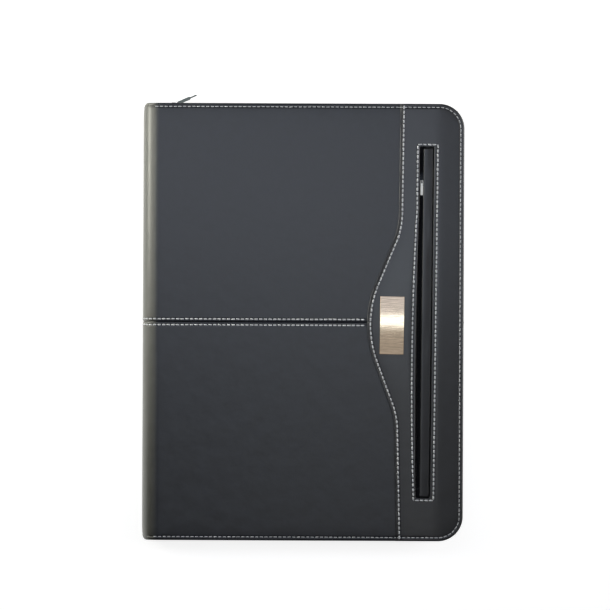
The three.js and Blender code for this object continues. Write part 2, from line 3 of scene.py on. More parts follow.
import bpy
import numpy as np
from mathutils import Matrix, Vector


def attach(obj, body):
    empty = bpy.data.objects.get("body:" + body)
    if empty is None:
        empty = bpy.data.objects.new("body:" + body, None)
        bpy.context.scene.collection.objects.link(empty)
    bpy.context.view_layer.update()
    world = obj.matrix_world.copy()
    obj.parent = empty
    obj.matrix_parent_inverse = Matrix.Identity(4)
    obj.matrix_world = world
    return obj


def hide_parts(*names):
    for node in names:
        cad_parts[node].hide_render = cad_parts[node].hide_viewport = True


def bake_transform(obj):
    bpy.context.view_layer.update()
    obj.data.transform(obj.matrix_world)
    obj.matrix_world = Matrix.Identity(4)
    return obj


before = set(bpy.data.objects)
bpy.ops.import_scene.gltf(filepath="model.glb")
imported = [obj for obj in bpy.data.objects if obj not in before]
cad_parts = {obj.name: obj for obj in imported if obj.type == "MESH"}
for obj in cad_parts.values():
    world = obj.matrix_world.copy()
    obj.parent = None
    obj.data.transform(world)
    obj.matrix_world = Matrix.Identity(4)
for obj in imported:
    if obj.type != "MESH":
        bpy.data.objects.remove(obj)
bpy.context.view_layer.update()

# Camera: straight above and far off, so that nothing is foreshortened, turned by a quarter of a
# degree as in the photograph. Its frame is 488 mm wide at the height of the front cover.
mm = 0.001
photo_turn = math.radians(0.26)
photo_span = 488 * mm
photo_middle = (1.6 * mm, 13.6 * mm)
cover_top = 29 * mm

camera = bpy.data.objects.new("camera", bpy.data.cameras.new("camera"))
camera.data.lens = 400
camera.data.sensor_width = 36
camera.data.clip_end = 40
camera.location = (
    photo_middle[0] * math.cos(photo_turn) - photo_middle[1] * math.sin(photo_turn),
    photo_middle[0] * math.sin(photo_turn) + photo_middle[1] * math.cos(photo_turn),
    cover_top + photo_span * camera.data.lens / camera.data.sensor_width,
)
camera.rotation_euler = (0, 0, photo_turn)
bpy.context.collection.objects.link(camera)
bpy.context.scene.camera = camera
bpy.context.scene.view_settings.view_transform = "Standard"


# Lamps: a soft box overhead, one with a grid at the right, and five with grids at the left, from the table's
# height upwards, that light the rounded spine. Two smaller ones look straight down and glance off the plate.
def soft_box(name, place, aim, width, height, power, colour=(1, 1, 1), grid=180):
    """A rectangular lamp, all in metres, that stands at place and faces aim. grid is its beam in degrees."""
    lamp = bpy.data.lights.new(name, "AREA")
    lamp.shape = "RECTANGLE"
    lamp.size = width
    lamp.size_y = height
    lamp.energy = power
    lamp.color = colour
    lamp.spread = math.radians(grid)
    holder = bpy.data.objects.new(name, lamp)
    holder.location = place
    holder.rotation_euler = (Vector(aim) - Vector(place)).to_track_quat("-Z", "Y").to_euler()
    holder.visible_camera = False
    bpy.context.collection.objects.link(holder)


cool_white, warm_white = (0.79, 0.86, 1), (1, 0.99, 0.88)
soft_box("overhead_box", (-0.24, 0.175, 0.9), (-0.24, 0.175, 0), 0.92, 0.3, 1.28, cool_white)
soft_box("small_overhead_box", (0.07, 0.02, 1.3), (0.07, 0.02, 0), 0.16, 0.055, 0.14, (0.8, 0.92, 1))
soft_box("dim_overhead_box", (0.07, -0.175, 1.31), (0.07, -0.175, 0), 0.3, 0.35, 0.23)
soft_box("right_box", (1, 0.25, 0.9), (0, 0.25, 0), 0.8, 0.8, 1.2, grid=60)
soft_box("left_box_0", (-0.9, 0.25, 0.14), (-0.12, 0.25, 0.02), 0.35, 0.24, 0.38, warm_white, grid=60)
soft_box("far_left_box", (-0.7, 0.75, 0.12), (-0.13, 0.08, 0.014), 0.3, 0.2, 0.14, warm_white, grid=30)
left_boxes = [(-0.85, 0.35, 0.2, 0.17), (-0.8, 0.5, 0.16, 0.12), (-0.7, 0.7, 0.15, 0.24)]
for number, (x, z, height, power) in enumerate(left_boxes, 1):
    soft_box(f"left_box_{number}", (x, 0.2, z), (-0.12, 0.2, 0.02), 0.35, height, power, warm_white, grid=90)

room = bpy.data.worlds.new("grey_room")
room.use_nodes = True
room.node_tree.nodes["Background"].inputs["Color"].default_value = (0.025, 0.025, 0.026, 1)
bpy.context.scene.world = room


# Floor: a matt white paper sweep, just under the back's stitches, which stand 0.3 mm proud. What the camera
# and shiny pieces see of it is white, and it keeps the folder's soft shadow.
def srgb(code):
    """A colour such as #a1b2c3 as linear light: c / 12.92 up to 0.04045, else ((c + 0.055) / 1.055) ^ 2.4."""
    c = np.array([int(code[i : i + 2], 16) for i in (1, 3, 5)]) / 255
    c = np.where(c <= 0.04045, c / 12.92, ((c + 0.055) / 1.055) ** 2.4)
    return (*c.tolist(), 1.0)


def new_finish(name):
    """An empty material with its node tree and its main shader."""
    finish = bpy.data.materials.new(name)
    finish.use_nodes = True
    return finish, finish.node_tree, finish.node_tree.nodes["Principled BSDF"]


def add_node(tree, kind, links=None, stops=None, **settings):
    """One node: links gives its sockets a value or another node's output, stops are a ramp's (place, colour)."""
    made = tree.nodes.new("ShaderNode" + kind)
    for key, value in settings.items():
        setattr(made, key, value)
    for key, value in (links or {}).items():
        if isinstance(value, bpy.types.NodeSocket):
            tree.links.new(value, made.inputs[key])
        else:
            made.inputs[key].default_value = value
    if stops:
        ramp = made.color_ramp.elements
        while len(ramp) < len(stops):
            ramp.new(1.0)
        for stop, (place, colour) in zip(ramp, stops):
            stop.position = place
            stop.color = colour
    return made


sweep_paper, tree, shader = new_finish("white paper, matt sweep")
tree.nodes.remove(shader)
ray = add_node(tree, "LightPath")
looks = {0: ray.outputs["Is Camera Ray"], 1: ray.outputs["Is Glossy Ray"]}
seen = add_node(tree, "Math", looks, operation="MAXIMUM")
seen = add_node(tree, "Math", {0: seen.outputs[0], 1: ray.outputs["Is Transmission Ray"]}, operation="MAXIMUM")
plain = add_node(tree, "BsdfDiffuse", {"Color": srgb("#e8e8e8")})
shadowed = add_node(tree, "BsdfDiffuse", {"Color": srgb("#c8c8c8")})
white = add_node(tree, "Emission", {"Color": (1, 1, 1, 1), "Strength": 0.84})
shown = add_node(tree, "AddShader", {0: shadowed.outputs[0], 1: white.outputs[0]})
paper = add_node(tree, "MixShader", {0: seen.outputs[0], 1: plain.outputs[0], 2: shown.outputs[0]})
tree.links.new(paper.outputs[0], tree.nodes["Material Output"].inputs["Surface"])

floor_half, floor_height = 20, -0.0004
floor_corners = [(x * floor_half, y * floor_half, floor_height) for x, y in ((-1, -1), (1, -1), (1, 1), (-1, 1))]
floor_mesh = bpy.data.meshes.new("floor")
floor_mesh.from_pydata(floor_corners, [], [(0, 1, 2, 3)])
floor_mesh.materials.append(sweep_paper)
floor = bpy.data.objects.new("floor", floor_mesh)
bpy.context.collection.objects.link(floor)

# Front skin, upper and lower half: polyurethane-coated leather cloth, cut in two at mid height. The cut
# edges are turned down and sewn together, and the outer edges are turned in round the cover.
# Each half runs on round the front fold to the middle of the spine.
cover_width = 257
cover_height = 350
cover_depth = 29
corner = 20
fold_radius = 14
spine_flat = 1
free_x = cover_width / 2
top_y = cover_height / 2
fold_x = fold_radius - free_x
spine_reach = fold_radius * math.pi / 2 + spine_flat / 2
leather_cloth = 0.5
stitch_inset = 2.9
weld_distance = 2e-7


def build(name, points, faces, finish, uv=None, crease=38):
    """A mesh from points in mm and quads. Corners that coincide are merged, a quad with one doubled corner
    becomes a triangle, and edges that bend more than crease degrees stay sharp."""
    points = np.asarray(points, float).reshape(-1, 3) * mm
    faces = np.asarray(faces).reshape(-1, 4)
    cells = np.round(points / weld_distance).astype(np.int64)
    _, first, merged = np.unique(cells, axis=0, return_index=True, return_inverse=True)
    merged = merged.reshape(-1)[faces]
    kept = merged != np.roll(merged, -1, axis=1)
    whole = (kept.sum(1) >= 3) & (merged[:, 0] != merged[:, 2]) & (merged[:, 1] != merged[:, 3])
    kept, merged, faces = kept[whole], merged[whole], faces[whole]
    corners = merged[kept]
    mesh = bpy.data.meshes.new(name)
    mesh.vertices.add(len(first))
    mesh.vertices.foreach_set("co", points[first].astype(np.float32).ravel())
    mesh.loops.add(len(corners))
    mesh.loops.foreach_set("vertex_index", corners.astype(np.int32))
    mesh.polygons.add(len(kept))
    starts = np.concatenate([[0], np.cumsum(kept.sum(1))[:-1]])
    mesh.polygons.foreach_set("loop_start", starts.astype(np.int32))
    if uv is not None:
        layer = mesh.uv_layers.new(name="UVMap")
        layer.data.foreach_set("uv", np.asarray(uv, np.float32).reshape(-1, 2)[faces[kept]].ravel())
    mesh.update(calc_edges=True)
    mesh.validate()
    mesh.shade_smooth()
    mesh.set_sharp_from_angle(angle=math.radians(crease))
    mesh.materials.append(finish)
    piece = bpy.data.objects.new(name, mesh)
    bpy.context.collection.objects.link(piece)
    return piece


def grid_quads(keep):
    """The corner indices of the kept cells of a grid, which has one more row and column than keep has."""
    i, j = np.nonzero(keep)
    wide = keep.shape[1] + 1
    first = i * wide + j
    return np.stack([first, first + 1, first + 1 + wide, first + wide], 1)


def shell(name, face, behind, finish, keep=None, uv=None, ring=False):
    """A closed piece between two grids of points, rows by columns: face, whose normal is columns cross rows,
    and behind. Walls close it round every edge of the kept cells. Where ring is true the last column lies on
    the first, and no wall stands there. Without uv the texture follows the face's own lengths."""
    rows, columns = face.shape[:2]
    keep = np.ones((rows - 1, columns - 1), bool) if keep is None else keep
    if uv is None:
        run = np.linalg.norm(np.diff(face, axis=1), axis=2)
        rise = np.linalg.norm(np.diff(face, axis=0), axis=2)
        u = np.concatenate([np.zeros((rows, 1)), np.cumsum(run, 1)], 1)
        v = np.concatenate([np.zeros((1, columns)), np.cumsum(rise, 0)], 0)
        uv = np.stack([u, v], 2) * mm
    back = rows * columns
    quads = grid_quads(keep)
    padded = np.pad(keep, 1)
    left, right = padded[1:-1, :-1], padded[1:-1, 1:]
    below, above = padded[:-1, 1:-1], padded[1:, 1:-1]
    if ring:
        left, right = left.copy(), right.copy()
        left[:, 0] = keep[:, -1]
        right[:, -1] = keep[:, 0]
    index = np.arange(back).reshape(rows, columns)

    def wall(where, start, end):
        a, b = start[where], end[where]
        return np.stack([b, a, a + back, b + back], 1)

    walls = [
        wall(left & ~right, index[:-1], index[1:]),
        wall(~left & right, index[1:], index[:-1]),
        wall(below & ~above, index[:, 1:], index[:, :-1]),
        wall(~below & above, index[:, :-1], index[:, 1:]),
    ]
    points = np.concatenate([face.reshape(-1, 3), behind.reshape(-1, 3)])
    faces = np.concatenate([quads, quads[:, ::-1] + back, *walls])
    return build(name, points, faces, finish, np.concatenate([uv.reshape(-1, 2)] * 2))


def ply(name, face, thickness, finish, ring=False, **how):
    """A cloth: a shell whose second grid lies thickness behind the face, along the face's normals."""
    normal = np.cross(np.gradient(face, axis=1), np.gradient(face, axis=0))
    if ring:
        across = (face[:, 1] - face[:, -2]) / 2
        normal[:, 0] = normal[:, -1] = np.cross(across, np.gradient(face[:, 0], axis=0))
    normal /= np.maximum(np.linalg.norm(normal, axis=2, keepdims=True), 1e-12)
    return shell(name, face, face - thickness * normal, finish, ring=ring, **how)


def plan(columns, rows, inset, drop, low_rim=True):
    """A flat cover as a grid: inner columns and rows, then a rim whose loops lie inset from the cover's
    outline, at the bottom too where low_rim is true. A corner's cells turn to a quarter disc: the loop is the
    larger index, the angle the ratio of the smaller to the larger. Gives x, y, the distance to the outline
    and how far the surface lies down."""
    columns = np.atleast_2d(columns)
    loops = np.arange(1, len(inset))
    lows = loops[::-1] if low_rim else loops[:0]
    base_y = np.concatenate([np.full(len(lows), rows[0]), rows, np.full(len(loops), rows[-1])])[:, None]
    away = np.concatenate([-np.ones(len(lows)), np.ones(len(rows) + len(loops))])[:, None]
    k_y = np.concatenate([lows, np.zeros(len(rows), int), loops])[:, None]
    k_x = np.concatenate([np.zeros(columns.shape[1], int), loops])[None]
    if len(columns) > 1:
        columns = np.concatenate([columns[:1]] * len(lows) + [columns] + [columns[-1:]] * len(loops))
    base_x = np.concatenate([columns, np.repeat(columns[:, -1:], len(loops), 1)], 1) + 0 * base_y
    loop = np.maximum(k_x, k_y)
    quarter = np.where(k_x >= k_y, k_y / np.maximum(k_x, 1), 2 - k_x / np.maximum(k_y, 1)) * math.pi / 4
    reach = corner - inset[loop]
    x = base_x + reach * np.cos(quarter)
    y = base_y + away * reach * np.sin(quarter)
    margin = np.where(loop > 0, inset[loop], np.minimum(free_x - x, top_y - np.abs(y)))
    return x, y, margin, drop[loop]


def wrapped(x, y, height):
    """Cover points in the folder's frame: x is measured on the flat skin, and left of the fold it winds down
    round the front fold, the spine's flat and the back fold. height is taken along the normal."""
    run = np.maximum(fold_x - x, 0)
    first = np.clip(run / fold_radius, 0, math.pi / 2)
    straight = np.clip(run - fold_radius * math.pi / 2, 0, spine_flat)
    second = np.clip((run - spine_flat) / fold_radius - math.pi / 2, 0, math.pi / 2)
    turned = first + second
    px = np.maximum(x, fold_x) - fold_radius * np.sin(first) + fold_radius * (1 - np.cos(second))
    pz = cover_depth - fold_radius * (1 - np.cos(first) + np.sin(second)) - straight
    normal = np.stack([-np.sin(turned), 0 * turned, np.cos(turned)], -1)
    return np.stack([px, y + 0 * px, pz], -1) + height[..., None] * normal, normal


def skin_rim(edge_low, edge_top, hem_width):
    """The turned edge as (inset, drop): a shallow valley for the stitches, then half an ellipse round the
    edge, from edge_top to edge_low under the face, and a hem that runs back by hem_width underneath."""
    flat = np.array([20, 17, 14, 11, 8.5, 6.5, 5.2, 4.3, 3.8, 3.4, 3.1, 2.9, 2.7, 2.4, 2.1])
    soft = edge_top * np.exp(-np.maximum(flat - stitch_inset, 0) / 4)
    valley = 0.25 * np.exp(-(((flat - stitch_inset) / 0.5) ** 2))
    middle = (edge_top + edge_low) / 2
    turn = np.radians([12, 28, 44, 60, 75, 90])
    over = 2 * (1 - np.sin(turn)), middle - (middle - edge_top) * np.cos(turn)
    turn = np.radians([20, 40, 60, 80, 90])
    under = 1 - np.cos(turn), middle + (edge_low - middle) * np.sin(turn)
    hem = np.array([2, 3, hem_width])
    return (
        np.concatenate([flat, over[0], under[0], hem]),
        np.concatenate([soft + valley, over[1], under[1], hem * 0 + edge_low]),
    )


rim_inset, rim_drop = skin_rim(2.4, 0.35, 4.2)


def seam_rows(stitch):
    """The sewn edge of one half as (y, drop): turned down at the seam, and a valley under its stitches."""
    y = np.array([0.9, 0.4, 0.08, 0.02, 0.02, 0.1, 0.28, 0.56, 0.95, 1.4])
    drop = np.array([1.9, 1.75, 1.5, 1.15, 0.9, 0.6, 0.34, 0.15, 0.04, 0.01])
    near = stitch + np.array([-0.3, 0, 0.35, 0.8, 1.6, 3, 6, 11])
    return np.concatenate([y, near]), np.concatenate([drop, 0.24 * np.exp(-(((near - stitch) / 0.45) ** 2))])


spine_round = 3


def spine_corner(x):
    """How far the ends of the spine are rounded off, where the spine is at its widest: a quarter circle."""
    across = free_x - np.abs(wrapped(x, 0 * x, 0 * x)[0][..., 0])
    left = 1 - np.minimum(across, spine_round) / spine_round
    return spine_round * (1 - np.sqrt(np.clip(1 - left**2, 0, 1))) * (x < fold_x)


slot_left, slot_right, slot_end = 89.8, 105.2, 141.8
sag_start, sag_reach, sag_depth = 103, 22, 0.7


def sag(x):
    """How far the cover falls away past the pocket, towards the free edge: its depth times 3 t^2 - 2 t^3."""
    t = np.clip((x - sag_start) / sag_reach, 0, 1)
    return sag_depth * t**2 * (3 - 2 * t)


def skin_half(x_stations, stitch, side, has_rim=True):
    """One half of the front, from the centre seam to the top edge, or mirrored to the bottom edge, as points,
    flat places and the cells that stay round the slot of the pocket zip."""
    seam_y, seam_drop = seam_rows(stitch)
    rows = np.concatenate([seam_y, np.linspace(18, slot_end, 22), [148, top_y - corner]])
    x, y, _, low = plan(x_stations, rows, rim_inset, rim_drop, low_rim=False)
    if not has_rim:
        x, y, low = (a[:, : len(x_stations)] for a in (x, y, low))
    low = low.copy()
    # The seam's valley fades out before the free edge, and its turned-down edge ends 10 mm short of it.
    fade = np.clip((free_x - 6 - x[: len(seam_y)]) / 4, 0, 1)
    fade[:3] = 1
    low[: len(seam_y)] += seam_drop[:, None] * fade
    y = y - spine_corner(x) * np.clip((y - top_y + 15) / 15, 0, 1)
    low = low + sag(x) * (low < 2)
    face = wrapped(x, y, -low)[0]
    uv = np.stack([x, y * side], 2) * mm
    keep = (x[1:, 1:] < slot_left + 0.01) | (x[1:, :-1] > slot_right - 0.01) | (y[:-1, 1:] > slot_end - 0.01)
    keep[:3] &= x[:3, 1:] < free_x - 10
    if side < 0:
        face = face[::-1] * (1, -1, 1)
        uv, keep = uv[::-1], keep[::-1]
    return face, uv, keep


def coated_leather(name, deep, pale, pebble, rough, film=0.32, painted_spine_sheen=None):
    """Polyurethane-coated leather cloth, embossed: the coating is a dark plastic film with a soft gloss. Base
    colour drifts between two shades over about 12 mm. Given a spine shade, it turns to that paler shade near
    the spine's middle: a painted sheen, lighter colour that stands in for the lamps' highlight on the rounded
    spine. The grain, pebble mm across, and slow waves are bump. Grain finer than a pixel, 0.8 mm, wouldn't show."""
    finish, tree, shader = new_finish(name)
    place = add_node(tree, "TexCoord").outputs["UV"]
    drift = add_node(tree, "TexNoise", {"Vector": place, "Scale": 1000 / 12, "Detail": 3, "Roughness": 0.6})
    tone = add_node(tree, "ValToRGB", {"Fac": drift.outputs["Fac"]}, [(0.35, srgb(deep)), (0.65, srgb(pale))])
    colour = tone.outputs["Color"]
    # Painted sheen: near the spine's middle the base colour turns paler, in place of the lamps' highlight on the
    # rounded spine.
    if painted_spine_sheen:
        along = add_node(tree, "SeparateXYZ", {"Vector": place})
        off = add_node(tree, "Math", {0: along.outputs["X"], 1: (fold_x - spine_reach) * mm}, operation="SUBTRACT")
        off = add_node(tree, "Math", {0: off.outputs[0]}, operation="ABSOLUTE")
        spine_sheen_share = add_node(tree, "MapRange", {"Value": off.outputs[0], "From Min": 21 * mm, "From Max": 5 * mm})
        shades = {"Factor": spine_sheen_share.outputs["Result"], "A": colour, "B": srgb(painted_spine_sheen)}
        colour = add_node(tree, "Mix", shades, data_type="RGBA").outputs[2]
    tree.links.new(colour, shader.inputs["Base Color"])
    spread = {"From Min": 0.3, "From Max": 0.7, "To Min": rough - 0.04, "To Max": rough + 0.05}
    gloss = add_node(tree, "MapRange", {"Value": drift.outputs["Fac"], **spread})
    tree.links.new(gloss.outputs["Result"], shader.inputs["Roughness"])
    pebbles = {"Vector": place, "Scale": 1000 / pebble, "Randomness": 1}
    grain = add_node(tree, "TexVoronoi", pebbles, feature="SMOOTH_F1")
    wave = add_node(tree, "TexNoise", {"Vector": place, "Scale": 1000 / 14, "Detail": 2})
    slow = add_node(tree, "Bump", {"Height": wave.outputs["Fac"], "Strength": 1, "Distance": 0.4 * mm})
    relief = {"Height": grain.outputs["Distance"], "Normal": slow.outputs["Normal"]}
    fine = add_node(tree, "Bump", {**relief, "Strength": 0.35, "Distance": 0.05 * mm})
    tree.links.new(fine.outputs["Normal"], shader.inputs["Normal"])
    shader.inputs["IOR"].default_value = 1.5
    shader.inputs["Coat Weight"].default_value = 0.8
    shader.inputs["Coat Roughness"].default_value = film
    return finish


# The paler spine shade, #66665a, is a painted sheen that stands in for the highlight on the rounded spine.
skin_leather = coated_leather("coated leather cloth, pebbled", "#171920", "#20232b", 1.1, 0.41, painted_spine_sheen="#66665a")

spine_x = np.linspace(-spine_reach, 0, 27)[:-1] + fold_x
flat_x = np.concatenate([np.linspace(fold_x, slot_left, 51), [slot_right, free_x - corner]])
upper_stitch, lower_stitch = 2.1, 2.6

for half, stitch, side in (("upper", upper_stitch, 1), ("lower", lower_stitch, -1)):
    face, uv, keep = skin_half(np.concatenate([spine_x, flat_x]), stitch, side)
    piece = ply(f"{half}_front_leather", face, leather_cloth, skin_leather, keep=keep, uv=uv)
    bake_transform(piece)
    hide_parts(f"front_skin_{half}")

# Spine skin, upper and lower half: the same leather cloth, which carries the centre seam on round the
# lower half of the spine to the seam that joins it to the back skin.
slit_x = fold_x - fold_radius * math.pi / 4
for half, stitch, side in (("upper", upper_stitch, 1), ("lower", lower_stitch, -1)):
    lower_spine_x = np.linspace(fold_x - spine_reach, slit_x - 0.1, 15)
    face, uv, keep = skin_half(lower_spine_x, stitch, side, has_rim=False)
    face = face[:, ::-1] * (1, 1, -1) + (0, 0, cover_depth)
    uv = np.stack([2 * (fold_x - spine_reach) * mm - uv[:, ::-1, 0], uv[:, ::-1, 1]], 2)
    piece = ply(f"{half}_spine_leather", face, leather_cloth, skin_leather, uv=uv)
    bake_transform(piece)
    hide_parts(f"spine_skin_{half}")

# Back skin: one piece of the leather cloth, turned in round the three zip edges and taken up round the
# back fold to the spine skin, where its edge is turned in.
turned_in = np.array([0.1, 0.12, 0.3, 0.8])
back_x = np.concatenate([slit_x + turned_in, np.linspace(slit_x + 1.6, fold_x - 1, 8), flat_x])
back_rows = np.linspace(corner - top_y, top_y - corner, 45)
x, y, _, low = plan(back_x, back_rows, rim_inset, rim_drop)
low = low.copy()
low[:, :4] += np.array([1.2, 0.45, 0.12, 0.02])
face = wrapped(x, y, -low)[0] * (1, 1, -1) + (0, 0, cover_depth)
uv = np.stack([2 * (fold_x - spine_reach) - x, y], 2) * mm
piece = ply("back_leather", face[:, ::-1], leather_cloth, skin_leather, uv=uv[:, ::-1])
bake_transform(piece)
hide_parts("back_skin")

# Overlay panel: a smoother, blacker coated cloth laid over the right-hand third, with its left edge
# folded under. The edge swings out in a nose, and the pocket window is cut in it.
panel_top = 30.3
panel_thickness = 0.95
panel_thinnest = 0.12
pocket_x = 97.5
pocket_lean = math.radians(0.5)
window_side = 5.8
window_end = 140.6
window_corner = 2
edge_bow, row_bow = 1.4, 2.6
row_gap_left, row_gap_right, row_gap_end = 1.6, 2.8, 1.75
edge_row = 2.75
edge_corners = [(77.4, 175, 0), (76.25, 75.5, 60), (44.65, 0, 86.6), (72.85, -75.5, 60), (75.1, -175, 0)]


def rounded_line(corners, step=0.08):
    """The chain of corners (x, y, radius) as points: each corner is an arc that touches both its sides."""
    parts = []
    for before, (x, y, radius), after in zip(corners, corners[1:], corners[2:]):
        here = np.array([x, y])
        back = np.subtract(before[:2], here) / np.linalg.norm(np.subtract(before[:2], here))
        ahead = np.subtract(after[:2], here) / np.linalg.norm(np.subtract(after[:2], here))
        half = math.acos(float(back @ ahead)) / 2
        middle = here + (back + ahead) / np.linalg.norm(back + ahead) * radius / math.sin(half)
        start, end = (here + way * radius / math.tan(half) - middle for way in (back, ahead))
        share = np.linspace(0, 1, max(3, int((math.pi / 2 - half) * 2 / step) + 2))[:, None]
        bent = start * (1 - share) + end * share
        parts.append(middle + radius * bent / np.linalg.norm(bent, axis=1, keepdims=True))
    return np.concatenate([[corners[0][:2]], *parts, [corners[-1][:2]]])


edge_line = rounded_line(edge_corners)


def panel_edge(y):
    """The x of the panel's folded edge at each y."""
    return np.interp(y, edge_line[::-1, 1], edge_line[::-1, 0])


def pocket_frame(x, y):
    """Points of the pocket's own frame, which is turned by half a degree, in the folder's frame."""
    return (
        pocket_x + x * math.cos(pocket_lean) + y * math.sin(pocket_lean),
        y * math.cos(pocket_lean) - x * math.sin(pocket_lean),
    )


def bowed(y, depth):
    """How far the window's left side has been pulled out of line by use: depth (1 - ((y + 25) / 115)^2)."""
    return depth * np.clip(1 - ((y + 25) / 115) ** 2, 0, 1)


def near_edge(distance, depth, reach):
    """How far a surface falls at a rounded edge: a quarter of an ellipse, depth high and reach wide."""
    return depth * (1 - np.sqrt(np.clip(1 - (1 - np.clip(distance / reach, 0, 1)) ** 2, 0, 1)))


flat = np.array([20, 17, 14, 11, 8.5, 6.5, 5.2, 4.3, 3.8, 3.4, 3.1, 2.9])
flat = np.concatenate([flat, [2.7, 2.4, 2.0, 1.6, 1.2, 0.9, 0.6, 0.35, 0.15, 0.04, 0]])
row_depth = 0.22
panel_drop = row_depth * np.exp(-np.maximum(flat - stitch_inset, 0) / 3)
panel_drop = panel_drop + row_depth * np.exp(-(((flat - stitch_inset) / 0.5) ** 2))
panel_drop = np.where(flat < stitch_inset, np.maximum(panel_drop, row_depth), panel_drop)
panel_drop = panel_drop + near_edge(flat, 0.7, 1.5)

past_end = np.array([-2, -1.3, -0.6, -0.2, -0.05, 0, 0.05, 0.2, 0.5, 1, 1.5, 1.75, 2, 2.25, 2.6, 3.2, 4.5, 8])
ends = window_end + past_end
rows = np.concatenate([[corner - top_y], -ends[::-1], np.linspace(-132, 132, 89), ends, [top_y - corner]])
edge = panel_edge(rows)[:, None]
tilt = np.tan(pocket_lean) * rows[:, None]
left_side = pocket_x + tilt - window_side - bowed(rows, edge_bow)[:, None]
left_row = pocket_x + tilt - window_side - row_gap_left - bowed(rows, row_bow)[:, None]
right_side = pocket_x + tilt + window_side
by_edge = edge + np.array([0, 0.03, 0.12, 0.3, 0.6, 1, 1.5, 1.9, 2.3, 2.55, 2.75, 2.95, 3.25, 3.7, 4.6, 6.5])
by_left = [left_row + np.array([-1, -0.5, -0.25, 0, 0.25, 0.5]), left_side + np.array([-0.8, -0.5, -0.25, -0.08, 0])]
by_left = np.concatenate(by_left, 1)
between = by_edge[:, -1:] + (by_left[:, :1] - by_edge[:, -1:]) * np.linspace(0, 1, 9)[None, 1:-1]
inside = pocket_x + tilt + np.array([-5.7, -5.3, -4.7, -3.8, -2, 0, 2, 3.8, 4.7, 5.3, 5.7])
by_right = right_side + np.array([0, 0.08, 0.25, 0.5, 0.9, 1.5, 2.1, 2.5, 2.8, 3.1, 3.6])
columns = np.concatenate([by_edge, between, by_left, inside, by_right, 0 * edge + free_x - corner], 1)
x, y, margin, low = plan(columns, rows, flat, panel_drop)
from_edge = x - panel_edge(y)
local_x = x - pocket_x - np.tan(pocket_lean) * y
open_x = window_side - np.maximum(local_x, -local_x - bowed(y, edge_bow))
open_y = window_end - np.abs(y)
in_corner = np.clip(window_corner - open_x, 0, window_corner)
rounding = window_corner - np.sqrt(np.clip(window_corner**2 - in_corner**2, 0, None))
y = np.where((np.abs(open_y) < 0.01) & (open_x > -0.01), np.sign(y) * (window_end - rounding), y)
outside = np.hypot(np.maximum(-open_x, 0), np.maximum(-open_y, 0))
low = low + near_edge(from_edge, 0.75, 0.5) + 0.2 * np.exp(-(((from_edge - edge_row) / 0.5) ** 2))
low = low + 0.4 * np.exp(-np.maximum(from_edge - edge_row, 0) / 7) * np.clip(from_edge / 2, 0, 1)
low = low + near_edge(outside, 0.3, 0.4) + sag(x)
for row_x in (-window_side - row_gap_left - bowed(y, row_bow), window_side + row_gap_right):
    low = low + 0.18 * np.exp(-(((local_x - row_x) / 0.45) ** 2)) * (open_y > -2)
face = np.stack([x, y, panel_top - low], 2)
in_window = (open_x > -0.01) & (open_y > -0.01)
keep = ~(in_window[:-1, :-1] & in_window[1:, 1:])
overlay_leather = coated_leather("coated cloth, calendered smooth", "#15161a", "#1b1c21", 0.9, 0.4, film=0.21)
under = np.minimum(panel_top - panel_thickness - sag(x), face[..., 2] - panel_thinnest)
under = under - 0.4 * np.clip(1 - margin / stitch_inset, 0, 1)
behind = np.stack([x, y, under], 2)
piece = shell("overlay_panel_cloth", face, behind, overlay_leather, keep=keep, uv=np.stack([x, y], 2) * mm)
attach(piece, "front")
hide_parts("overlay_panel")

# Pocket welt: a strip of the panel's cloth, folded double, that covers the pocket zip. Its left edge is
# the fold, and its right edge is turned down and sewn on the zip's right-hand tape.
welt_left, welt_right = -2.6, 4.55
welt_end = window_end - 0.6 * window_corner
welt_top, welt_cloth = 30.22, 0.5
over = np.array([0, 0.04, 0.15, 0.35, 0.65, 1.1, 1.8, 2.8, 4, 5.2, 6.2, 7, 7.12])
across = np.concatenate([over, [7.14, 7.15, 7.15, 7.15]]) + welt_left
turned_down = np.concatenate([0 * over, [0.01, 0.6, 1.3, 2.05]])
near_end = np.array([0, 0.06, 0.2, 0.45, 0.8, 1.4])
along = np.concatenate([near_end, np.linspace(3, 2 * welt_end - 3, 71), 2 * welt_end - near_end[::-1]]) - welt_end
local_x, local_y = np.meshgrid(across, along)
hollow = 0.5 * ((local_x - welt_left) / (welt_right - welt_left)) ** 1.6
lift = 0.06 * np.sin(local_y / 19) + 0.05 * np.sin(local_y / 7.3 + 1)
height = welt_top - hollow - near_edge(local_x - welt_left, 0.45, 0.8)
height = height - near_edge(welt_end - np.abs(local_y), 0.4, 0.8) + lift * (local_x < 2) - turned_down
x, y = pocket_frame(local_x, local_y)
face = np.stack([x, y, height], 2)
welt = ply("pocket_welt_cloth", face, welt_cloth, overlay_leather, uv=np.stack([x, y], 2) * mm)
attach(welt, "front")
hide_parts("pocket_welt")

# Stitching: pale grey polyester thread, waxed to a dull shine, in lock stitches that arch from hole to hole.
# It is thick on the centre seam, the panel's fold, the pocket's frame and the back's hem, and finer on the
# front's hem.
thread_grey, tree, shader = new_finish("polyester thread, spun and waxed")
place = add_node(tree, "TexCoord").outputs["Object"]
fibre = add_node(tree, "TexNoise", {"Vector": place, "Scale": 1000 / 0.5, "Detail": 2})
tone = add_node(tree, "ValToRGB", {"Fac": fibre.outputs["Fac"]}, [(0.3, srgb("#d6d8dc")), (0.7, srgb("#f6f7fa"))])
tree.links.new(tone.outputs["Color"], shader.inputs["Base Color"])
strand = add_node(tree, "Bump", {"Height": fibre.outputs["Fac"], "Strength": 0.5, "Distance": 0.1 * mm})
tree.links.new(strand.outputs["Normal"], shader.inputs["Normal"])
shader.inputs["Roughness"].default_value = 0.55
shader.inputs["Coat Weight"].default_value = 0.6
shader.inputs["Coat Roughness"].default_value = 0.35


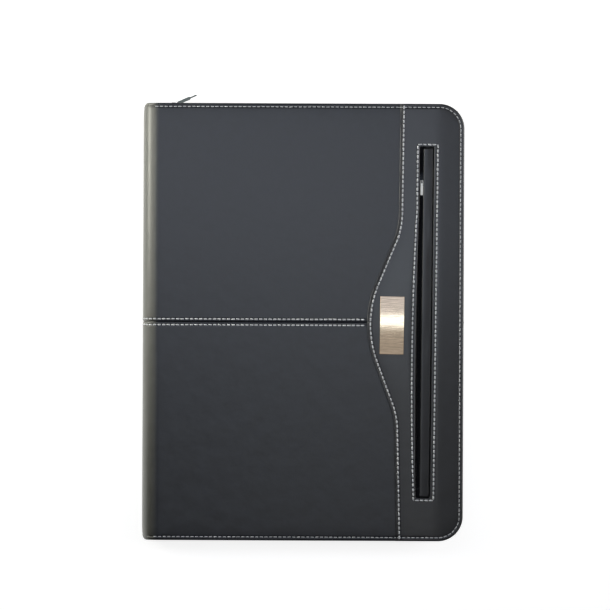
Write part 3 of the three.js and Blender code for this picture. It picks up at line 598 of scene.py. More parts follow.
def repeated(name, points, faces, places, ways, finish):
    """The same small form many times: its points along each way's three axes from each place."""
    every = places[:, None] + np.einsum("ka,nab->nkb", points, ways)
    offsets = np.arange(len(places)) * len(points)
    return build(name, every, faces[None] + offsets[:, None, None], finish, crease=80)


def paced(line, up, pitch, length=2.0, shift=0.0):
    """Evenly spaced places on a line with the surface's normals: the places, and their three axes ahead,
    sideways and up. shift moves them on by a share of the pitch, and length is what each spans."""
    run = np.concatenate([[0], np.cumsum(np.linalg.norm(np.diff(line, axis=0), axis=1))])
    count = int(run[-1] / pitch)
    middle = run[-1] / 2 + (np.arange(count) - (count - 1) / 2 + shift) * pitch

    def at(s, values):
        return np.stack([np.interp(s, run, values[:, i]) for i in range(3)], 1)

    ahead = at(middle + length / 2, line) - at(middle - length / 2, line)
    ahead /= np.linalg.norm(ahead, axis=1, keepdims=True)
    side = np.cross(at(middle, up), ahead)
    side /= np.linalg.norm(side, axis=1, keepdims=True)
    return at(middle, line), np.stack([ahead, side, np.cross(ahead, side)], 1)


def stitching(name, line, up, pitch=3.7, length=3.0, thread=1.25):
    """Lock stitches along a line with the surface's normals. Each is a tube whose radius is that of the
    thread times the root of 1 - t^6, and which arches by 1 - t^4 from hole to hole, t from -1 to 1."""
    t = np.array([-1, -0.93, -0.7, -0.3, 0.3, 0.7, 0.93, 1])
    turn = np.linspace(0, 2 * math.pi, 7)
    radius = thread / 2 * np.sqrt(np.clip(1 - t**6, 0, 1))
    forward = (length / 2 * t)[:, None] + 0 * turn
    sideways = radius[:, None] * np.cos(turn)
    upward = (0.42 * thread * (1 - t**4) - 0.12 * thread)[:, None] + radius[:, None] * np.sin(turn)
    points = np.stack([forward, sideways, upward], -1).reshape(-1, 3)
    faces = grid_quads(np.ones((len(t) - 1, len(turn) - 1), bool))
    return repeated(name, points, faces, *paced(line, up, pitch, length), thread_grey)


def cover_line(inset, x_start):
    """The line inset from the three free edges, from x_start at the top round to x_start at the bottom."""
    turn = np.linspace(0, math.pi / 2, 24)
    radius = corner - inset
    top = np.stack([np.linspace(x_start, free_x - corner, 240), np.full(240, top_y - inset)], 1)
    bend = np.stack([free_x - corner + radius * np.sin(turn), top_y - corner + radius * np.cos(turn)], 1)
    right = np.stack([np.full(40, free_x - inset), np.linspace(top_y - corner, corner - top_y, 40)], 1)
    return np.concatenate([top, bend[1:], right[1:-1], bend[::-1] * (1, -1), top[::-1][1:] * (1, -1)])


# How far the rows lie down in their valleys: the hems' rows, the seam's two, the panel's and the frame's.
hem_sink, seam_sink, panel_sink, frame_sink = 0.6, 0.24, 0.56, 0.18
edge_start = fold_x - 6.8
line = cover_line(stitch_inset, edge_start)
place, up = wrapped(line[:, 0], line[:, 1], np.full(len(line), -hem_sink))
on_panel = line[:, 0] > panel_edge(line[:, 1])
place[:, 2] = np.where(on_panel, panel_top - 0.4, place[:, 2]) - sag(place[:, 0])
edge_stitches = stitching("front_edge_stitches", place, up, length=2.8, thread=0.7)
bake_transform(edge_stitches)

seam_start, seam_end = fold_x - spine_reach + 0.5, 50.2
seam_x = np.linspace(seam_start, seam_end, 260)
for row, y in (("upper", upper_stitch), ("lower", -lower_stitch)):
    place, up = wrapped(seam_x, np.full(260, y), np.full(260, -seam_sink))
    seam = stitching(f"centre_seam_stitches_{row}", place, up)
    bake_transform(seam)
    low_x = np.linspace(seam_start, slit_x - 1.5, 40)
    place, up = wrapped(low_x, np.full(40, y), np.full(40, -seam_sink))
    place = place * (1, 1, -1) + (0, 0, cover_depth)
    seam = stitching(f"spine_seam_stitches_{row}", place, up * (1, 1, -1))
    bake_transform(seam)

y = np.linspace(top_y - 1.2, 1.2 - top_y, 500)
slope = np.gradient(panel_edge(y), y)
x = panel_edge(y) + edge_row * np.sqrt(1 + slope**2)
place = np.stack([x, y, np.full(500, panel_top - panel_sink)], 1)
panel_stitches = stitching("panel_edge_stitches", place, np.tile([0.0, 0, 1], (500, 1)))
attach(panel_stitches, "front")

row_left, row_right = -window_side - row_gap_left, window_side + row_gap_right
row_end, row_corner = window_end + row_gap_end, 0.9
turns = [(row_right, row_end), (row_right, -row_end), (row_left, -row_end), (row_left, row_end)]
line = rounded_line([(0, row_end, 0), *((*turn, row_corner) for turn in turns), (0, row_end, 0)], 0.3)
run = np.concatenate([[0], np.cumsum(np.linalg.norm(np.diff(line, axis=0), axis=1))])
even = np.linspace(0, run[-1], 900)
local_x, local_y = np.interp(even, run, line[:, 0]), np.interp(even, run, line[:, 1])
x, y = pocket_frame(local_x - bowed(local_y, row_bow) * (local_x < 0), local_y)
place = np.stack([x, y, panel_top - frame_sink - sag(x)], 1)
pocket_stitches = stitching("pocket_frame_stitches", place, np.tile([0.0, 0, 1], (900, 1)))
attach(pocket_stitches, "front")

line = cover_line(stitch_inset, fold_x)
place, up = wrapped(line[:, 0], line[:, 1], np.full(len(line), -hem_sink))
back_stitches = stitching("back_edge_stitches", place * (1, 1, -1) + (0, 0, cover_depth), up * (1, 1, -1))
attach(back_stitches, "back")

# Metal plate: a stamped zinc plate, nickel plated and brushed across to a warm, streaky shine. It is crowned
# along its height, with a chamfer all round, and two prongs go through the cloth and are bent over behind it.
plate_x, plate_y, plate_lean = 71.2, -2.4, math.radians(0.85)
plate_width, plate_height, plate_low = 19.4, 46.5, 30.6
plate_thick, plate_fall = 1.7, 0.65
chamfer_wide, chamfer_deep, edge_break = 0.2, 0.15, 0.05
brushed_nickel, tree, shader = new_finish("zinc alloy, nickel plated and brushed")
place = add_node(tree, "TexCoord").outputs["Object"]
long = add_node(tree, "Mapping", {"Vector": place, "Scale": (1000 / 9, 1000 / 0.35, 1000 / 9)})
lines = add_node(tree, "TexNoise", {"Vector": long.outputs["Vector"], "Scale": 1, "Detail": 2})
tone = add_node(tree, "ValToRGB", {"Fac": lines.outputs["Fac"]}, [(0.3, srgb("#a3937f")), (0.7, srgb("#c3af99"))])
tree.links.new(tone.outputs["Color"], shader.inputs["Base Color"])
scratch = add_node(tree, "Bump", {"Height": lines.outputs["Fac"], "Strength": 0.15, "Distance": 0.02 * mm})
tree.links.new(scratch.outputs["Normal"], shader.inputs["Normal"])
shader.inputs["Metallic"].default_value = 1
shader.inputs["Roughness"].default_value = 0.1


def chamfered(half, count):
    """Stations across a plate from edge to edge: the chamfer's own near both ends, and count even ones."""
    near = np.array([0, 0.05, 0.14, 0.2, 0.5, 1.8])
    low = -half + near
    return np.concatenate([low, np.linspace(low[-1], -low[-1], count)[1:-1], -low[::-1]])


local_x, local_y = np.meshgrid(chamfered(plate_width / 2, 9), chamfered(plate_height / 2, 33))
rim = np.minimum(plate_width / 2 - np.abs(local_x), plate_height / 2 - np.abs(local_y))
crown = plate_thick - plate_fall * (local_y / plate_height * 2) ** 2
height = plate_low + crown - chamfer_deep * np.clip(1 - rim / chamfer_wide, 0, 1)
height = height - near_edge(rim, edge_break, edge_break)
turned = np.stack([
    plate_x + local_x * math.cos(plate_lean) + local_y * math.sin(plate_lean),
    plate_y + local_y * math.cos(plate_lean) - local_x * math.sin(plate_lean),
], -1)
top = np.concatenate([turned, height[..., None]], -1)
bottom = np.concatenate([turned, np.full_like(height, plate_low)[..., None]], -1)
rows, columns = top.shape[:2]
index = np.arange(rows * columns).reshape(rows, columns)
loop = np.concatenate([index[0, :-1], index[:-1, -1], index[-1, :0:-1], index[:0:-1, 0]])
quads = grid_quads(np.ones((rows - 1, columns - 1), bool))
under = rows * columns
sides = np.stack([loop + under, np.roll(loop, -1) + under, np.roll(loop, -1), loop], 1)
plate_points = np.concatenate([top.reshape(-1, 3), bottom.reshape(-1, 3)])
plate_faces = np.concatenate([quads, quads[:, ::-1] + under, sides])


def box_part(low, high, turn=0.0, middle=(0, 0)):
    """A plain block between two corners, turned about the middle: its 8 points and 6 quads."""
    pick = np.array([[0, 0, 0], [1, 0, 0], [1, 1, 0], [0, 1, 0], [0, 0, 1], [1, 0, 1], [1, 1, 1], [0, 1, 1]])
    points = np.where(pick, high, low).astype(float)
    x, y = points[:, 0].copy(), points[:, 1].copy()
    points[:, 0] = middle[0] + x * math.cos(turn) + y * math.sin(turn)
    points[:, 1] = middle[1] + y * math.cos(turn) - x * math.sin(turn)
    return points, np.array([[0, 3, 2, 1], [4, 5, 6, 7], [0, 1, 5, 4], [1, 2, 6, 5], [2, 3, 7, 6], [3, 0, 4, 7]])


def joined(parts):
    """Several (points, faces) as one."""
    offsets = np.cumsum([0] + [len(points) for points, _ in parts[:-1]])
    return np.concatenate([p for p, _ in parts]), np.concatenate([f + o for (_, f), o in zip(parts, offsets)])


# Half of a prong's width and of its thickness, its distance from the plate's middle, and its foot's reach.
prong_half, prong_thin, prong_away, foot_start, foot_end = 1.5, 0.4, 15, 0.3, 3.4
prong_low, foot_high, prong_high = 27.1, 27.5, 30.9
prongs = []
for side in (-1, 1):
    at = side * prong_away
    foot = sorted((at - side * foot_start, at - side * foot_end))
    for low, high in (
        ((-prong_half, at - prong_thin, prong_low), (prong_half, at + prong_thin, prong_high)),
        ((-prong_half, foot[0], prong_low), (prong_half, foot[1], foot_high)),
    ):
        prongs.append(box_part(low, high, plate_lean, (plate_x, plate_y)))
points, faces = joined([(plate_points, plate_faces), *prongs])
plate = build("brushed_plate", points, faces, brushed_nickel, crease=14)
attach(plate, "front")
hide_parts("metal_plate")

# Foams of the three parts: open-cell polyurethane, matt grey with fine pores, glued under the leather. It is
# 1.2 mm thick on the back and round the spine. The front's is thicker, and hollowed for the pocket bag.
def solid(name, deep, pale, size, rough, bump):
    """An even solid whose colour drifts between two shades over size mm, with bump mm of relief."""
    finish, tree, shader = new_finish(name)
    place = add_node(tree, "TexCoord").outputs["Object"]
    drift = add_node(tree, "TexNoise", {"Vector": place, "Scale": 1000 / size, "Detail": 3})
    tone = add_node(tree, "ValToRGB", {"Fac": drift.outputs["Fac"]}, [(0.35, srgb(deep)), (0.65, srgb(pale))])
    tree.links.new(tone.outputs["Color"], shader.inputs["Base Color"])
    relief = add_node(tree, "Bump", {"Height": drift.outputs["Fac"], "Strength": 1, "Distance": bump * mm})
    tree.links.new(relief.outputs["Normal"], shader.inputs["Normal"])
    shader.inputs["Roughness"].default_value = rough
    return finish


grey_foam = solid("polyurethane foam, open cell, skived", "#4a4a4b", "#58585a", 1.2, 0.95, 0.2)
cut_inset = np.array([20, 17, 15.6, 15.3, 13, 10, 8, 6.9, 6.2, 5.85, 5.7])
layer_rows = np.concatenate([[-155, -152.3, -152], np.linspace(-148, 148, 33), [152, 152.3, 155]])
layer_start, recess_reach, recess_end, recess_margin = -114.2, 184.7, 152, 15.5


def cover_layer(name, low, high, finish, soft, hollow=0):
    """A layer of a cover between two heights, cut 5.7 mm inside the outline and rounded by soft at the edge.
    hollow is the depth of the recess for the pocket bag, in its top."""
    tilt = np.tan(pocket_lean) * layer_rows[:, None]
    recess = pocket_x - recess_reach + tilt
    even = np.linspace(-80, free_x - corner, 24)
    columns = np.concatenate([0 * tilt + layer_start, 0 * tilt - 100, recess - 0.3, recess, 0 * tilt + even], 1)
    x, y, _, drop = plan(columns, layer_rows, cut_inset, near_edge(cut_inset - cut_inset[-1], soft, 2 * soft))
    inside = x > pocket_x - recess_reach - 0.01 + np.tan(pocket_lean) * y
    inside &= (np.abs(y) < recess_end + 0.1) & (x < free_x - recess_margin)
    top = np.stack([x, y, high - drop - hollow * inside], 2)
    return shell(name, top, np.stack([x, y, low + drop], 2), finish, uv=np.stack([x, y], 2) * mm)


foams = [
    cover_layer("back_foam_layer", 1.5, 2.7, grey_foam, 0.2),
    cover_layer("front_foam_layer", 23, 27.5, grey_foam, 0.3, hollow=3.2),
]
for piece, body in zip(foams, ("back", "front")):
    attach(piece, body)
    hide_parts(f"{body}_foam")
half_spine = np.linspace(fold_x - spine_reach, fold_x, 29)
spine_foam, spine_foam_end, under_skin = 1.2, 170.8, np.full(29, -1.5)


def spine_layer(name, height, thickness, reach, finish, upper):
    """Half of a layer of the spine, from its middle to the flat cover. height is taken from the skin's face
    along its normal, one for each station."""
    x, y = np.meshgrid(half_spine, np.linspace(-reach, reach, 45))
    face = wrapped(x, y, height + 0 * x)[0]
    if not upper:
        face = (face * (1, 1, -1) + (0, 0, cover_depth))[:, ::-1]
    return ply(name, face, thickness, finish)


foams.append(spine_layer("spine_foam_upper", under_skin, spine_foam, spine_foam_end, grey_foam, True))
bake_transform(foams[-1])
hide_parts("spine_foam")
foams.append(spine_layer("spine_foam_lower", under_skin, spine_foam, spine_foam_end, grey_foam, False))
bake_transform(foams[-1])

# Boards: 1.8 mm millboard that stiffens both covers, and the thinner greyboard that backs the pad. Both are
# pressed from recycled paper and die cut, matt and faintly mottled.
mill_board = solid("millboard, pressed and die cut", "#85735a", "#93826a", 2.5, 0.9, 0.05)
grey_board = solid("greyboard, pressed and die cut", "#8f8d86", "#a5a39b", 2, 0.92, 0.04)
for name, finish in (("back_board", mill_board), ("front_board", mill_board), ("pad_backing_board", grey_board)):
    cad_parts[name].material_slots[0].material = finish


# Linings: black woven polyester cloth glued over both boards and carried across the spine, where it bows in
# from the boards to the fold. A wave texture's bands lie 0.314 m apart at scale 1.
lining_thick, spine_lining_end = 0.8, 168.8
band_step = 0.314


def woven(name, deep, pale, yarn, rough=0.85):
    """Plain-woven cloth: warp and weft are the product of two sine bands, yarn mm apart, as colour and bump.
    It is dull, with a faint bloom. The lining's yarn is really finer, and is drawn coarser so that it shows."""
    finish, tree, shader = new_finish(name)
    place = add_node(tree, "TexCoord").outputs["UV"]
    thread = {"Vector": place, "Scale": 1000 * band_step / yarn, "Distortion": 0.4, "Detail": 1}
    bands = [add_node(tree, "TexWave", thread, wave_type="BANDS", bands_direction=way) for way in ("X", "Y")]
    cross = add_node(tree, "Math", {0: bands[0].outputs["Fac"], 1: bands[1].outputs["Fac"]}, operation="MULTIPLY")
    tone = add_node(tree, "ValToRGB", {"Fac": cross.outputs[0]}, [(0.0, srgb(deep)), (0.8, srgb(pale))])
    tree.links.new(tone.outputs["Color"], shader.inputs["Base Color"])
    relief = add_node(tree, "Bump", {"Height": cross.outputs[0], "Strength": 0.6, "Distance": 0.12 * mm})
    tree.links.new(relief.outputs["Normal"], shader.inputs["Normal"])
    shader.inputs["Roughness"].default_value = rough
    shader.inputs["Sheen Weight"].default_value = 0.15
    return finish


lining_cloth = woven("polyester lining, plain woven", "#1c1c20", "#34343a", 0.6)
for body, low in (("back", 5.1), ("front", 19.8)):
    lining = cover_layer(f"{body}_lining_cloth", low, low + lining_thick, lining_cloth, 0.3)
    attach(lining, body)
    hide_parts(f"{body}_lining")
to_fold = np.clip((half_spine - slit_x) / (fold_x - slit_x), 0, 1)
bow_middle, bow_depth = -3, 5.4
bow = bow_middle - bow_depth * to_fold**2 * (3 - 2 * to_fold)
upper_lining = spine_layer("spine_lining_upper", bow, lining_thick, spine_lining_end, lining_cloth, True)
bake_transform(upper_lining)
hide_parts("spine_lining")
lower_lining = spine_layer("spine_lining_lower", bow, lining_thick, spine_lining_end, lining_cloth, False)
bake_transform(lower_lining)

# Main zip, tapes: black woven polyester tape in each cover, sewn in flat behind the hem and turned up into
# the side wall. The section gives inset and height, and the front's is the same upside down.
tape_cloth = woven("polyester zip tape, woven", "#141416", "#2a2a2d", 0.45)
zip_end = -113
tape_section = [(2, 2.7), (2, 3.5), (4.5, 3.5), (4.5, 11.8), (5.3, 11.8), (5.3, 2.7), (2, 2.7)]
front_section = [(inset, cover_depth - z) for inset, z in tape_section[::-1]]
for body, section in (("back", tape_section), ("front", front_section)):
    lines = [cover_line(inset, zip_end - 1.9) for inset, z in section]
    band = np.stack([np.column_stack([line, np.full(len(line), z)]) for line, (_, z) in zip(lines, section)], 1)
    wide, last = len(section), (len(band) - 1) * len(section)
    ends = np.array([[0, 1, 2, 5], [2, 3, 4, 5]] if body == "back" else [[6, 1, 4, 5], [1, 2, 3, 4]])
    faces = np.concatenate([grid_quads(np.ones((len(band) - 1, wide - 1), bool)), ends[:, ::-1], ends + last])
    run = np.concatenate([[0], np.cumsum(np.linalg.norm(np.diff(lines[3], axis=0), axis=1))])
    girth = np.concatenate([[0], np.cumsum(np.linalg.norm(np.diff(section, axis=0), axis=1))])
    uv = np.stack(np.broadcast_arrays(run[:, None], girth[None]), 2) * mm
    tape = build(f"{body}_zip_tape_cloth", band, faces, tape_cloth, uv=uv)
    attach(tape, body)
    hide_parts(f"{body}_zip_tape")

# Main zip, teeth: nylon monofilament, smooth and half glossy, wound into a coil and sewn on each tape's edge.
# Every turn is a flat loop, and the front row's turns stand over the gaps of the back row, 1 mm away.
coil_nylon, tree, shader = new_finish("nylon monofilament, coiled and dyed")
shader.inputs["Base Color"].default_value = srgb("#202023")
shader.inputs["Roughness"].default_value = 0.34


def coil_turn(depth, height, wire):
    """One turn of a coil, seen along it a ring with flattened sides: depth / 2 cos^0.6 by height / 2 sin^0.6
    with the wire's circle round it."""
    turn, round_wire = np.meshgrid(np.linspace(0, 2 * math.pi, 11), np.linspace(0, 2 * math.pi, 6), indexing="ij")

    def flatter(v):
        return np.sign(v) * np.abs(v) ** 0.6

    out = wire / 2 * np.cos(round_wire)
    sideways = (depth - wire) / 2 * flatter(np.cos(turn)) + out * np.cos(turn)
    upward = (height - wire) / 2 * flatter(np.sin(turn)) + out * np.sin(turn)
    points = np.stack([-wire / 2 * np.sin(round_wire), sideways, upward], -1).reshape(-1, 3)
    return points, grid_quads(np.ones((10, 5), bool))


coil_inset, coil_pitch, back_row, front_row = 4.9, 1.5, 12.9, 16.1
main_turn = coil_turn(2.5, 2.2, 0.75)
line = cover_line(coil_inset, zip_end + 0.5)
upright = np.tile([0.0, 0, 1], (len(line), 1))
for body, middle, shift in (("back", back_row, 0), ("front", front_row, 0.5)):
    row = np.column_stack([line, np.full(len(line), middle)])
    places, ways = paced(row, upright, coil_pitch, shift=shift)
    teeth = repeated(f"{body}_zip_coil", *main_turn, places[:-1], ways[:-1], coil_nylon)
    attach(teeth, body)
    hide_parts(f"{body}_zip_teeth")

# Metal fittings: slider, puller and stops of the main zip are die-cast zinc, gunmetal plated to a grey shine.
# Those of the pocket zip are plated in black nickel, nearly black and glossy, and its puller in bright nickel.
def plated(name, deep, pale, rough):
    """Plated zinc: a metal whose colour and gloss drift slightly over about 3 mm."""
    finish, tree, shader = new_finish(name)
    place = add_node(tree, "TexCoord").outputs["Object"]
    drift = add_node(tree, "TexNoise", {"Vector": place, "Scale": 1000 / 3, "Detail": 3})
    tone = add_node(tree, "ValToRGB", {"Fac": drift.outputs["Fac"]}, [(0.3, srgb(deep)), (0.7, srgb(pale))])
    tree.links.new(tone.outputs["Color"], shader.inputs["Base Color"])
    spread = {"Value": drift.outputs["Fac"], "To Min": rough - 0.08, "To Max": rough + 0.08}
    gloss = add_node(tree, "MapRange", spread)
    tree.links.new(gloss.outputs["Result"], shader.inputs["Roughness"])
    shader.inputs["Metallic"].default_value = 1
    return finish


gunmetal = plated("zinc alloy, gunmetal plated and tumbled", "#5d625c", "#747972", 0.32)
nickel = plated("zinc alloy, nickel plated and tumbled", "#b9b4aa", "#cdc9c0", 0.3)
for name in ("main_zip_slider", "main_zip_puller", "zip_top_stop_back", "zip_top_stop_front", "zip_end_stop"):
    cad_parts[name].material_slots[0].material = gunmetal
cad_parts["pocket_puller"].material_slots[0].material = nickel
black_nickel = plated("zinc alloy, black nickel plated", "#1d1e20", "#2b2c2f", 0.3)
for name in ("pocket_slider", "pocket_top_stop", "pocket_bottom_stop"):
    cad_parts[name].material_slots[0].material = black_nickel


# Pocket zip: two flat tapes of woven polyester, sewn in behind the panel's window on both sides of the slit.
# Each carries a coil of nylon on its edge, finer than the main zip's.
def flat_cloth(name, x_ends, y_ends, low, high, finish, leaning=False, fall=0, soft=0.25, cells=(20, 40)):
    """A flat rectangle of cloth between two heights, its edges rounded by soft. Its upper edge falls by fall
    from left to right, and leaning sets it in the pocket's frame."""
    near = soft * np.array([0, 0.1, 0.3, 0.6, 1])
    stations = [
        np.concatenate([start + near, np.linspace(start + soft, end - soft, count)[1:-1], end - near[::-1]])
        for (start, end), count in zip((x_ends, y_ends), cells)
    ]
    x, v = np.meshgrid(*stations)
    rim = np.minimum.reduce([x - x_ends[0], x_ends[1] - x, v - y_ends[0], y_ends[1] - v])
    upper = y_ends[1] - fall * (x - x_ends[0]) / (x_ends[1] - x_ends[0])
    y = y_ends[0] + (v - y_ends[0]) / (y_ends[1] - y_ends[0]) * (upper - y_ends[0])
    round_off = near_edge(rim, 0.42 * (high - low), soft)
    px, py = pocket_frame(x, y) if leaning else (x, y)
    top = np.stack([px, py, high - round_off], 2)
    bottom = np.stack([px, py, low + round_off], 2)
    return shell(name, top, bottom, finish, uv=np.stack([x, y], 2) * mm)


tape_ends, tape_low, tape_high = (-145.6, 145.6), 26.9, 27.5
row_ends, row_middle, pocket_pitch = (-132.5, 117.7), 27.2, 1.25
pocket_turn = coil_turn(1.4, 1.6, 0.55)
for side, x_ends, row_x, shift in (("left", (-14.2, -6.2), -5.2, 0.25), ("right", (-1.6, 6.4), -2.6, -0.25)):
    name = f"pocket_tape_cloth_{side}"
    tape = flat_cloth(name, x_ends, tape_ends, tape_low, tape_high, tape_cloth, leaning=True, cells=(5, 30))
    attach(tape, "front")
    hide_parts(f"pocket_tape_{side}")
    x, y = pocket_frame(np.full(2, row_x), np.array(row_ends))
    row = np.column_stack([x, y, np.full(2, row_middle)])
    places, ways = paced(row, np.tile([0.0, 0, 1], (2, 1)), pocket_pitch, shift=shift)
    teeth = repeated(f"pocket_coil_{side}", *pocket_turn, places, ways, coil_nylon)
    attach(teeth, "front")
    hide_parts(f"pocket_teeth_{side}")

# Pocket bag: lining cloth folded double and sewn shut round its edges, with a slit under the zip. It lies in
# the hollow of the front foam.
bag_left, bag_right, bag_half, bag_low, bag_high = -184, 14, 150.1, 24.6, 26.6
bag_fabric, seam_swell, more_swell, swell_reach = 0.3, 0.34, 0.66, 3.5
half_turn = np.radians([30, 60, 90, 120, 150])
over = np.concatenate([np.linspace(bag_left + 1, -12, 14), [-7.1, -0.7, 6, bag_right - 1]])
under = np.linspace(bag_right - 1, bag_left + 1, 18)
ring_x = np.concatenate([over, bag_right - 1 + np.sin(half_turn), under, bag_left + 1 - np.sin(half_turn), over[:1]])
ring_z = np.concatenate([0 * over + 1, np.cos(half_turn), 0 * under - 1, -np.cos(half_turn), [1]])
past = np.array([0, 0.5, 1.2, 2.2, swell_reach])
slit_rows = np.concatenate([[-window_end], np.linspace(-130, 130, 27), [window_end]])
bag_rows = np.concatenate([-bag_half + past, slit_rows, (bag_half - past)[::-1]])
swell = seam_swell + more_swell * np.sqrt(np.clip((bag_half - np.abs(bag_rows)) / swell_reach, 0, 1))
x, y = pocket_frame(ring_x[None] + 0 * bag_rows[:, None], bag_rows[:, None] + 0 * ring_x[None])
face = np.stack([x, y, (bag_low + bag_high) / 2 + swell[:, None] * ring_z[None]], 2)
keep = np.ones((len(bag_rows) - 1, len(ring_x) - 1), bool)
keep[5:-5, 14] = False
bag = ply("pocket_bag_cloth", face, bag_fabric, lining_cloth, ring=True, keep=keep)
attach(bag, "front")
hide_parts("pocket_bag")

# Inside of the front cover: a document pocket with a slanting mouth and three stepped card pockets, all of
# lining cloth with hemmed mouths, sewn on along their other edges.
def sewn(name, corners, height, body, facing=-1):
    """A row of fine stitches along straight lines between corners, on a face at height that looks down
    (facing -1) or up."""
    corners = np.array(corners, float)
    run = np.concatenate([[0], np.cumsum(np.linalg.norm(np.diff(corners, axis=0), axis=1))])
    even = np.linspace(0, run[-1], int(run[-1]) + 2)
    x, y = (np.interp(even, run, corners[:, i]) for i in range(2))
    line = np.column_stack([x, y, np.full(len(even), height)])
    row = stitching(name, line, np.tile([0.0, 0, facing], (len(even), 1)), pitch=3, length=2.3, thread=0.4)
    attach(row, body)


def sewn_box(left, right, low, high):
    """The corners of a row of stitches round a rectangle, from its upper left corner and back to it."""
    return [(left, high), (left, low), (right, low), (right, high), (left, high)]


document_x, document_y, document_low, document_high = (-106.2, 114.8), (-161.3, 23.7), 18.8, 19.5
name, form = "document_pocket_cloth", {"fall": 25, "cells": (40, 36)}
pocket = flat_cloth(name, document_x, document_y, document_low, document_high, lining_cloth, **form)
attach(pocket, "front")
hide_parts("document_pocket")
row = [(-104.4, 21.7), (-104.4, -159.5), (113, -159.5), (113, -3), (-104.4, 21.7)]
sewn("document_pocket_stitches", row, document_low, "front")
card_x, card_low, card_cloth, card_hem = (-98.2, 1.8), 35, 0.6, 1.6
for number, (height, low) in enumerate([(75, 18.9), (60, 18), (45, 17.1)], 1):
    name, top = f"card_pocket_cloth_{number}", card_low + height
    card = flat_cloth(name, card_x, (card_low, top), low, low + card_cloth, lining_cloth, cells=(24, 20))
    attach(card, "front")
    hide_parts(f"card_pocket_{number}")
    row = sewn_box(-96.6, 0.2, card_low + card_hem, top - card_hem)
    sewn(f"card_pocket_stitches_{number}", row, low, "front")

# Inside of the back cover: a sleeve of lining cloth with a raised rim round three sides, which holds the
# pad's backing board, and an elastic pen loop.
sleeve_left, sleeve_low, sleeve_width, sleeve_height = -98.3, -150.3, 213.6, 201.8
sleeve_top, sleeve_under = 8.8, 8.2
pad_room_left, pad_room_right, pad_room_low = -97.1, 114.1, -149.1
rim_up = np.array([-2.6, -1.3, 0, 0.1, 0.3, 0.6, 1.2])
s_x = np.concatenate([rim_up, np.linspace(1.2, 212.4, 34)[1:-1], sleeve_width - rim_up[::-1]])
s_y = np.concatenate([rim_up, np.linspace(1.2, sleeve_height, 34)[1:]])
across, along = np.meshgrid(s_x, s_y)
over_edge = np.maximum.reduce([-across, across - sleeve_width, -along, 0 * along])
from_edge = np.minimum.reduce([across, sleeve_width - across, along])
x = sleeve_left + np.clip(across, 0, sleeve_width)
y = sleeve_low + np.clip(along, 0, None)
z = sleeve_top - over_edge - near_edge(from_edge, 0.3, 0.6) * (over_edge <= 0)
behind = [np.clip(x, pad_room_left, pad_room_right), np.maximum(y, pad_room_low), np.minimum(z, sleeve_under)]
uv = np.stack([across, along], 2) * mm
sleeve = shell("pad_sleeve_cloth", np.stack([x, y, z], 2), np.stack(behind, 2), lining_cloth, uv=uv)
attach(sleeve, "back")
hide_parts("pad_sleeve")
sewn("pad_sleeve_stitches", sewn_box(-96.9, 113.9, -148.9, 49.7), sleeve_top, "back", facing=1)

# The loop's webbing is dull, with ribs 1.1 mm apart that run round it.
knit_elastic, tree, shader = new_finish("elastic webbing, knitted black")
place = add_node(tree, "TexCoord").outputs["UV"]
ribbing = {"Vector": place, "Scale": 1000 * band_step / 1.1, "Distortion": 0.3, "Detail": 1}
ribs = add_node(tree, "TexWave", ribbing, wave_type="BANDS", bands_direction="Y")
tone = add_node(tree, "ValToRGB", {"Fac": ribs.outputs["Fac"]}, [(0.1, srgb("#141417")), (0.9, srgb("#2f2f33"))])
tree.links.new(tone.outputs["Color"], shader.inputs["Base Color"])
relief = add_node(tree, "Bump", {"Height": ribs.outputs["Fac"], "Strength": 0.7, "Distance": 0.2 * mm})
tree.links.new(relief.outputs["Normal"], shader.inputs["Normal"])
shader.inputs["Roughness"].default_value = 0.8
loop_low, loop_high, loop_radius, loop_wall, loop_x, loop_z = 37.5, 82.5, 5.2, 0.8, -106, 11.4
turn = np.linspace(0, 2 * math.pi, 41)
near_end = np.array([0, 0.1, 0.3, 0.6])
loop_rows = np.concatenate([loop_low + near_end, np.linspace(39, 81, 15), loop_high - near_end[::-1]])
squeeze = 0.2 * np.clip(1 - np.minimum(loop_rows - loop_low, loop_high - loop_rows) / near_end[-1], 0, 1) ** 2
radius = loop_radius - squeeze[:, None] + 0 * turn
x, z = loop_x + radius * np.sin(turn), loop_z + radius * np.cos(turn)
face = np.stack([x, loop_rows[:, None] + 0 * radius, z], 2)
loop = ply("pen_loop_elastic", face, loop_wall, knit_elastic, ring=True)
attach(loop, "back")
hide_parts("pen_loop")

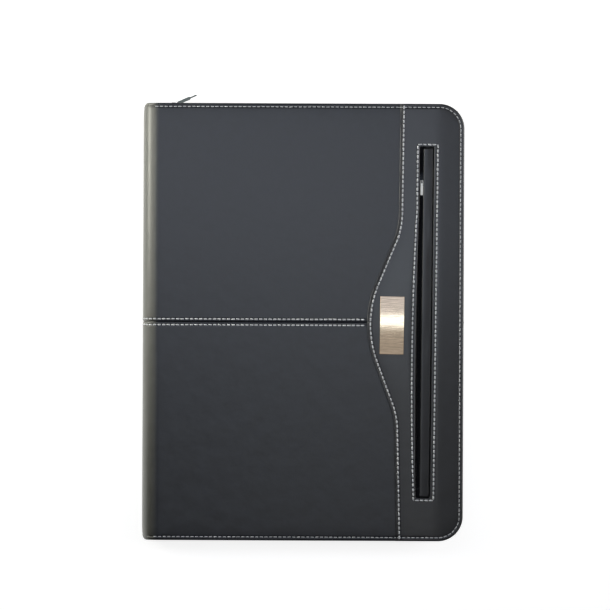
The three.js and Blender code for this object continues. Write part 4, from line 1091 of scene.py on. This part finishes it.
# Writing pad: a block of ruled off-white leaves, matt and ruled every 8 mm, on its greyboard. It is glued at
# the top edge and bound with a folded strip of dark blue embossed paper, which has a slight sheen.
pad_ends, pad_half, leaves_low, leaves_high = (-96.5, 113.5), 148.5, 9.1, 13.6
ruled_paper, tree, shader = new_finish("wood-free paper, ruled in pale blue")
place = add_node(tree, "TexCoord").outputs["Object"]
axes = add_node(tree, "SeparateXYZ", {"Vector": place})
step = add_node(tree, "Math", {0: axes.outputs["Y"], 1: 8 * mm}, operation="MODULO")
step = add_node(tree, "Math", {0: step.outputs[0]}, operation="ABSOLUTE")
line_here = add_node(tree, "MapRange", {"Value": step.outputs[0], "From Min": 0.25 * mm, "From Max": 0.2 * mm})
inks = {"Factor": line_here.outputs["Result"], "A": srgb("#efede6"), "B": srgb("#a9b6c8")}
inked = add_node(tree, "Mix", inks, data_type="RGBA")
tree.links.new(inked.outputs[2], shader.inputs["Base Color"])
edges = add_node(tree, "Mapping", {"Vector": place, "Scale": (1000 / 40, 1000 / 40, 1000 / 0.1)})
edges = add_node(tree, "TexNoise", {"Vector": edges.outputs["Vector"], "Scale": 1, "Detail": 1})
leaf = add_node(tree, "Bump", {"Height": edges.outputs["Fac"], "Strength": 0.8, "Distance": 0.1 * mm})
tree.links.new(leaf.outputs["Normal"], shader.inputs["Normal"])
shader.inputs["Roughness"].default_value = 0.9
name, form = "pad_ruled_leaves", {"soft": 0.05, "cells": (12, 16)}
leaves = flat_cloth(name, pad_ends, (-pad_half, pad_half), leaves_low, leaves_high, ruled_paper, **form)
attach(leaves, "pad")
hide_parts("pad_leaves")

bound_paper = woven("embossed binding paper, linen grain", "#1d2030", "#343a52", 0.7, 0.6)
strip_thick, strip_low, strip_high, strip_end = 0.4, 6.2, 14.3, 149.2
bend_round = 0.8
bend = np.radians([15, 45, 75])
corner_low = np.stack([148.4 + bend_round * np.sin(bend), 7.0 - bend_round * np.cos(bend)], 1)
corner_high = np.stack([148.4 + bend_round * np.cos(bend), 13.5 + bend_round * np.sin(bend)], 1)
below = [(y, strip_low) for y in (136.5, 142, 147.5)]
above = [(y, strip_high) for y in (147.5, 142, 136.5)]
profile = np.concatenate([below, corner_low, [(strip_end, 8), (strip_end, 12.5)], corner_high, above])
bind_x = np.linspace(*pad_ends, 12)
face = np.stack(np.broadcast_arrays(bind_x[:, None], profile[None, :, 0], profile[None, :, 1]), 2)
binding = ply("pad_binding_strip", face, strip_thick, bound_paper)
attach(binding, "pad")
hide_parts("pad_binding")
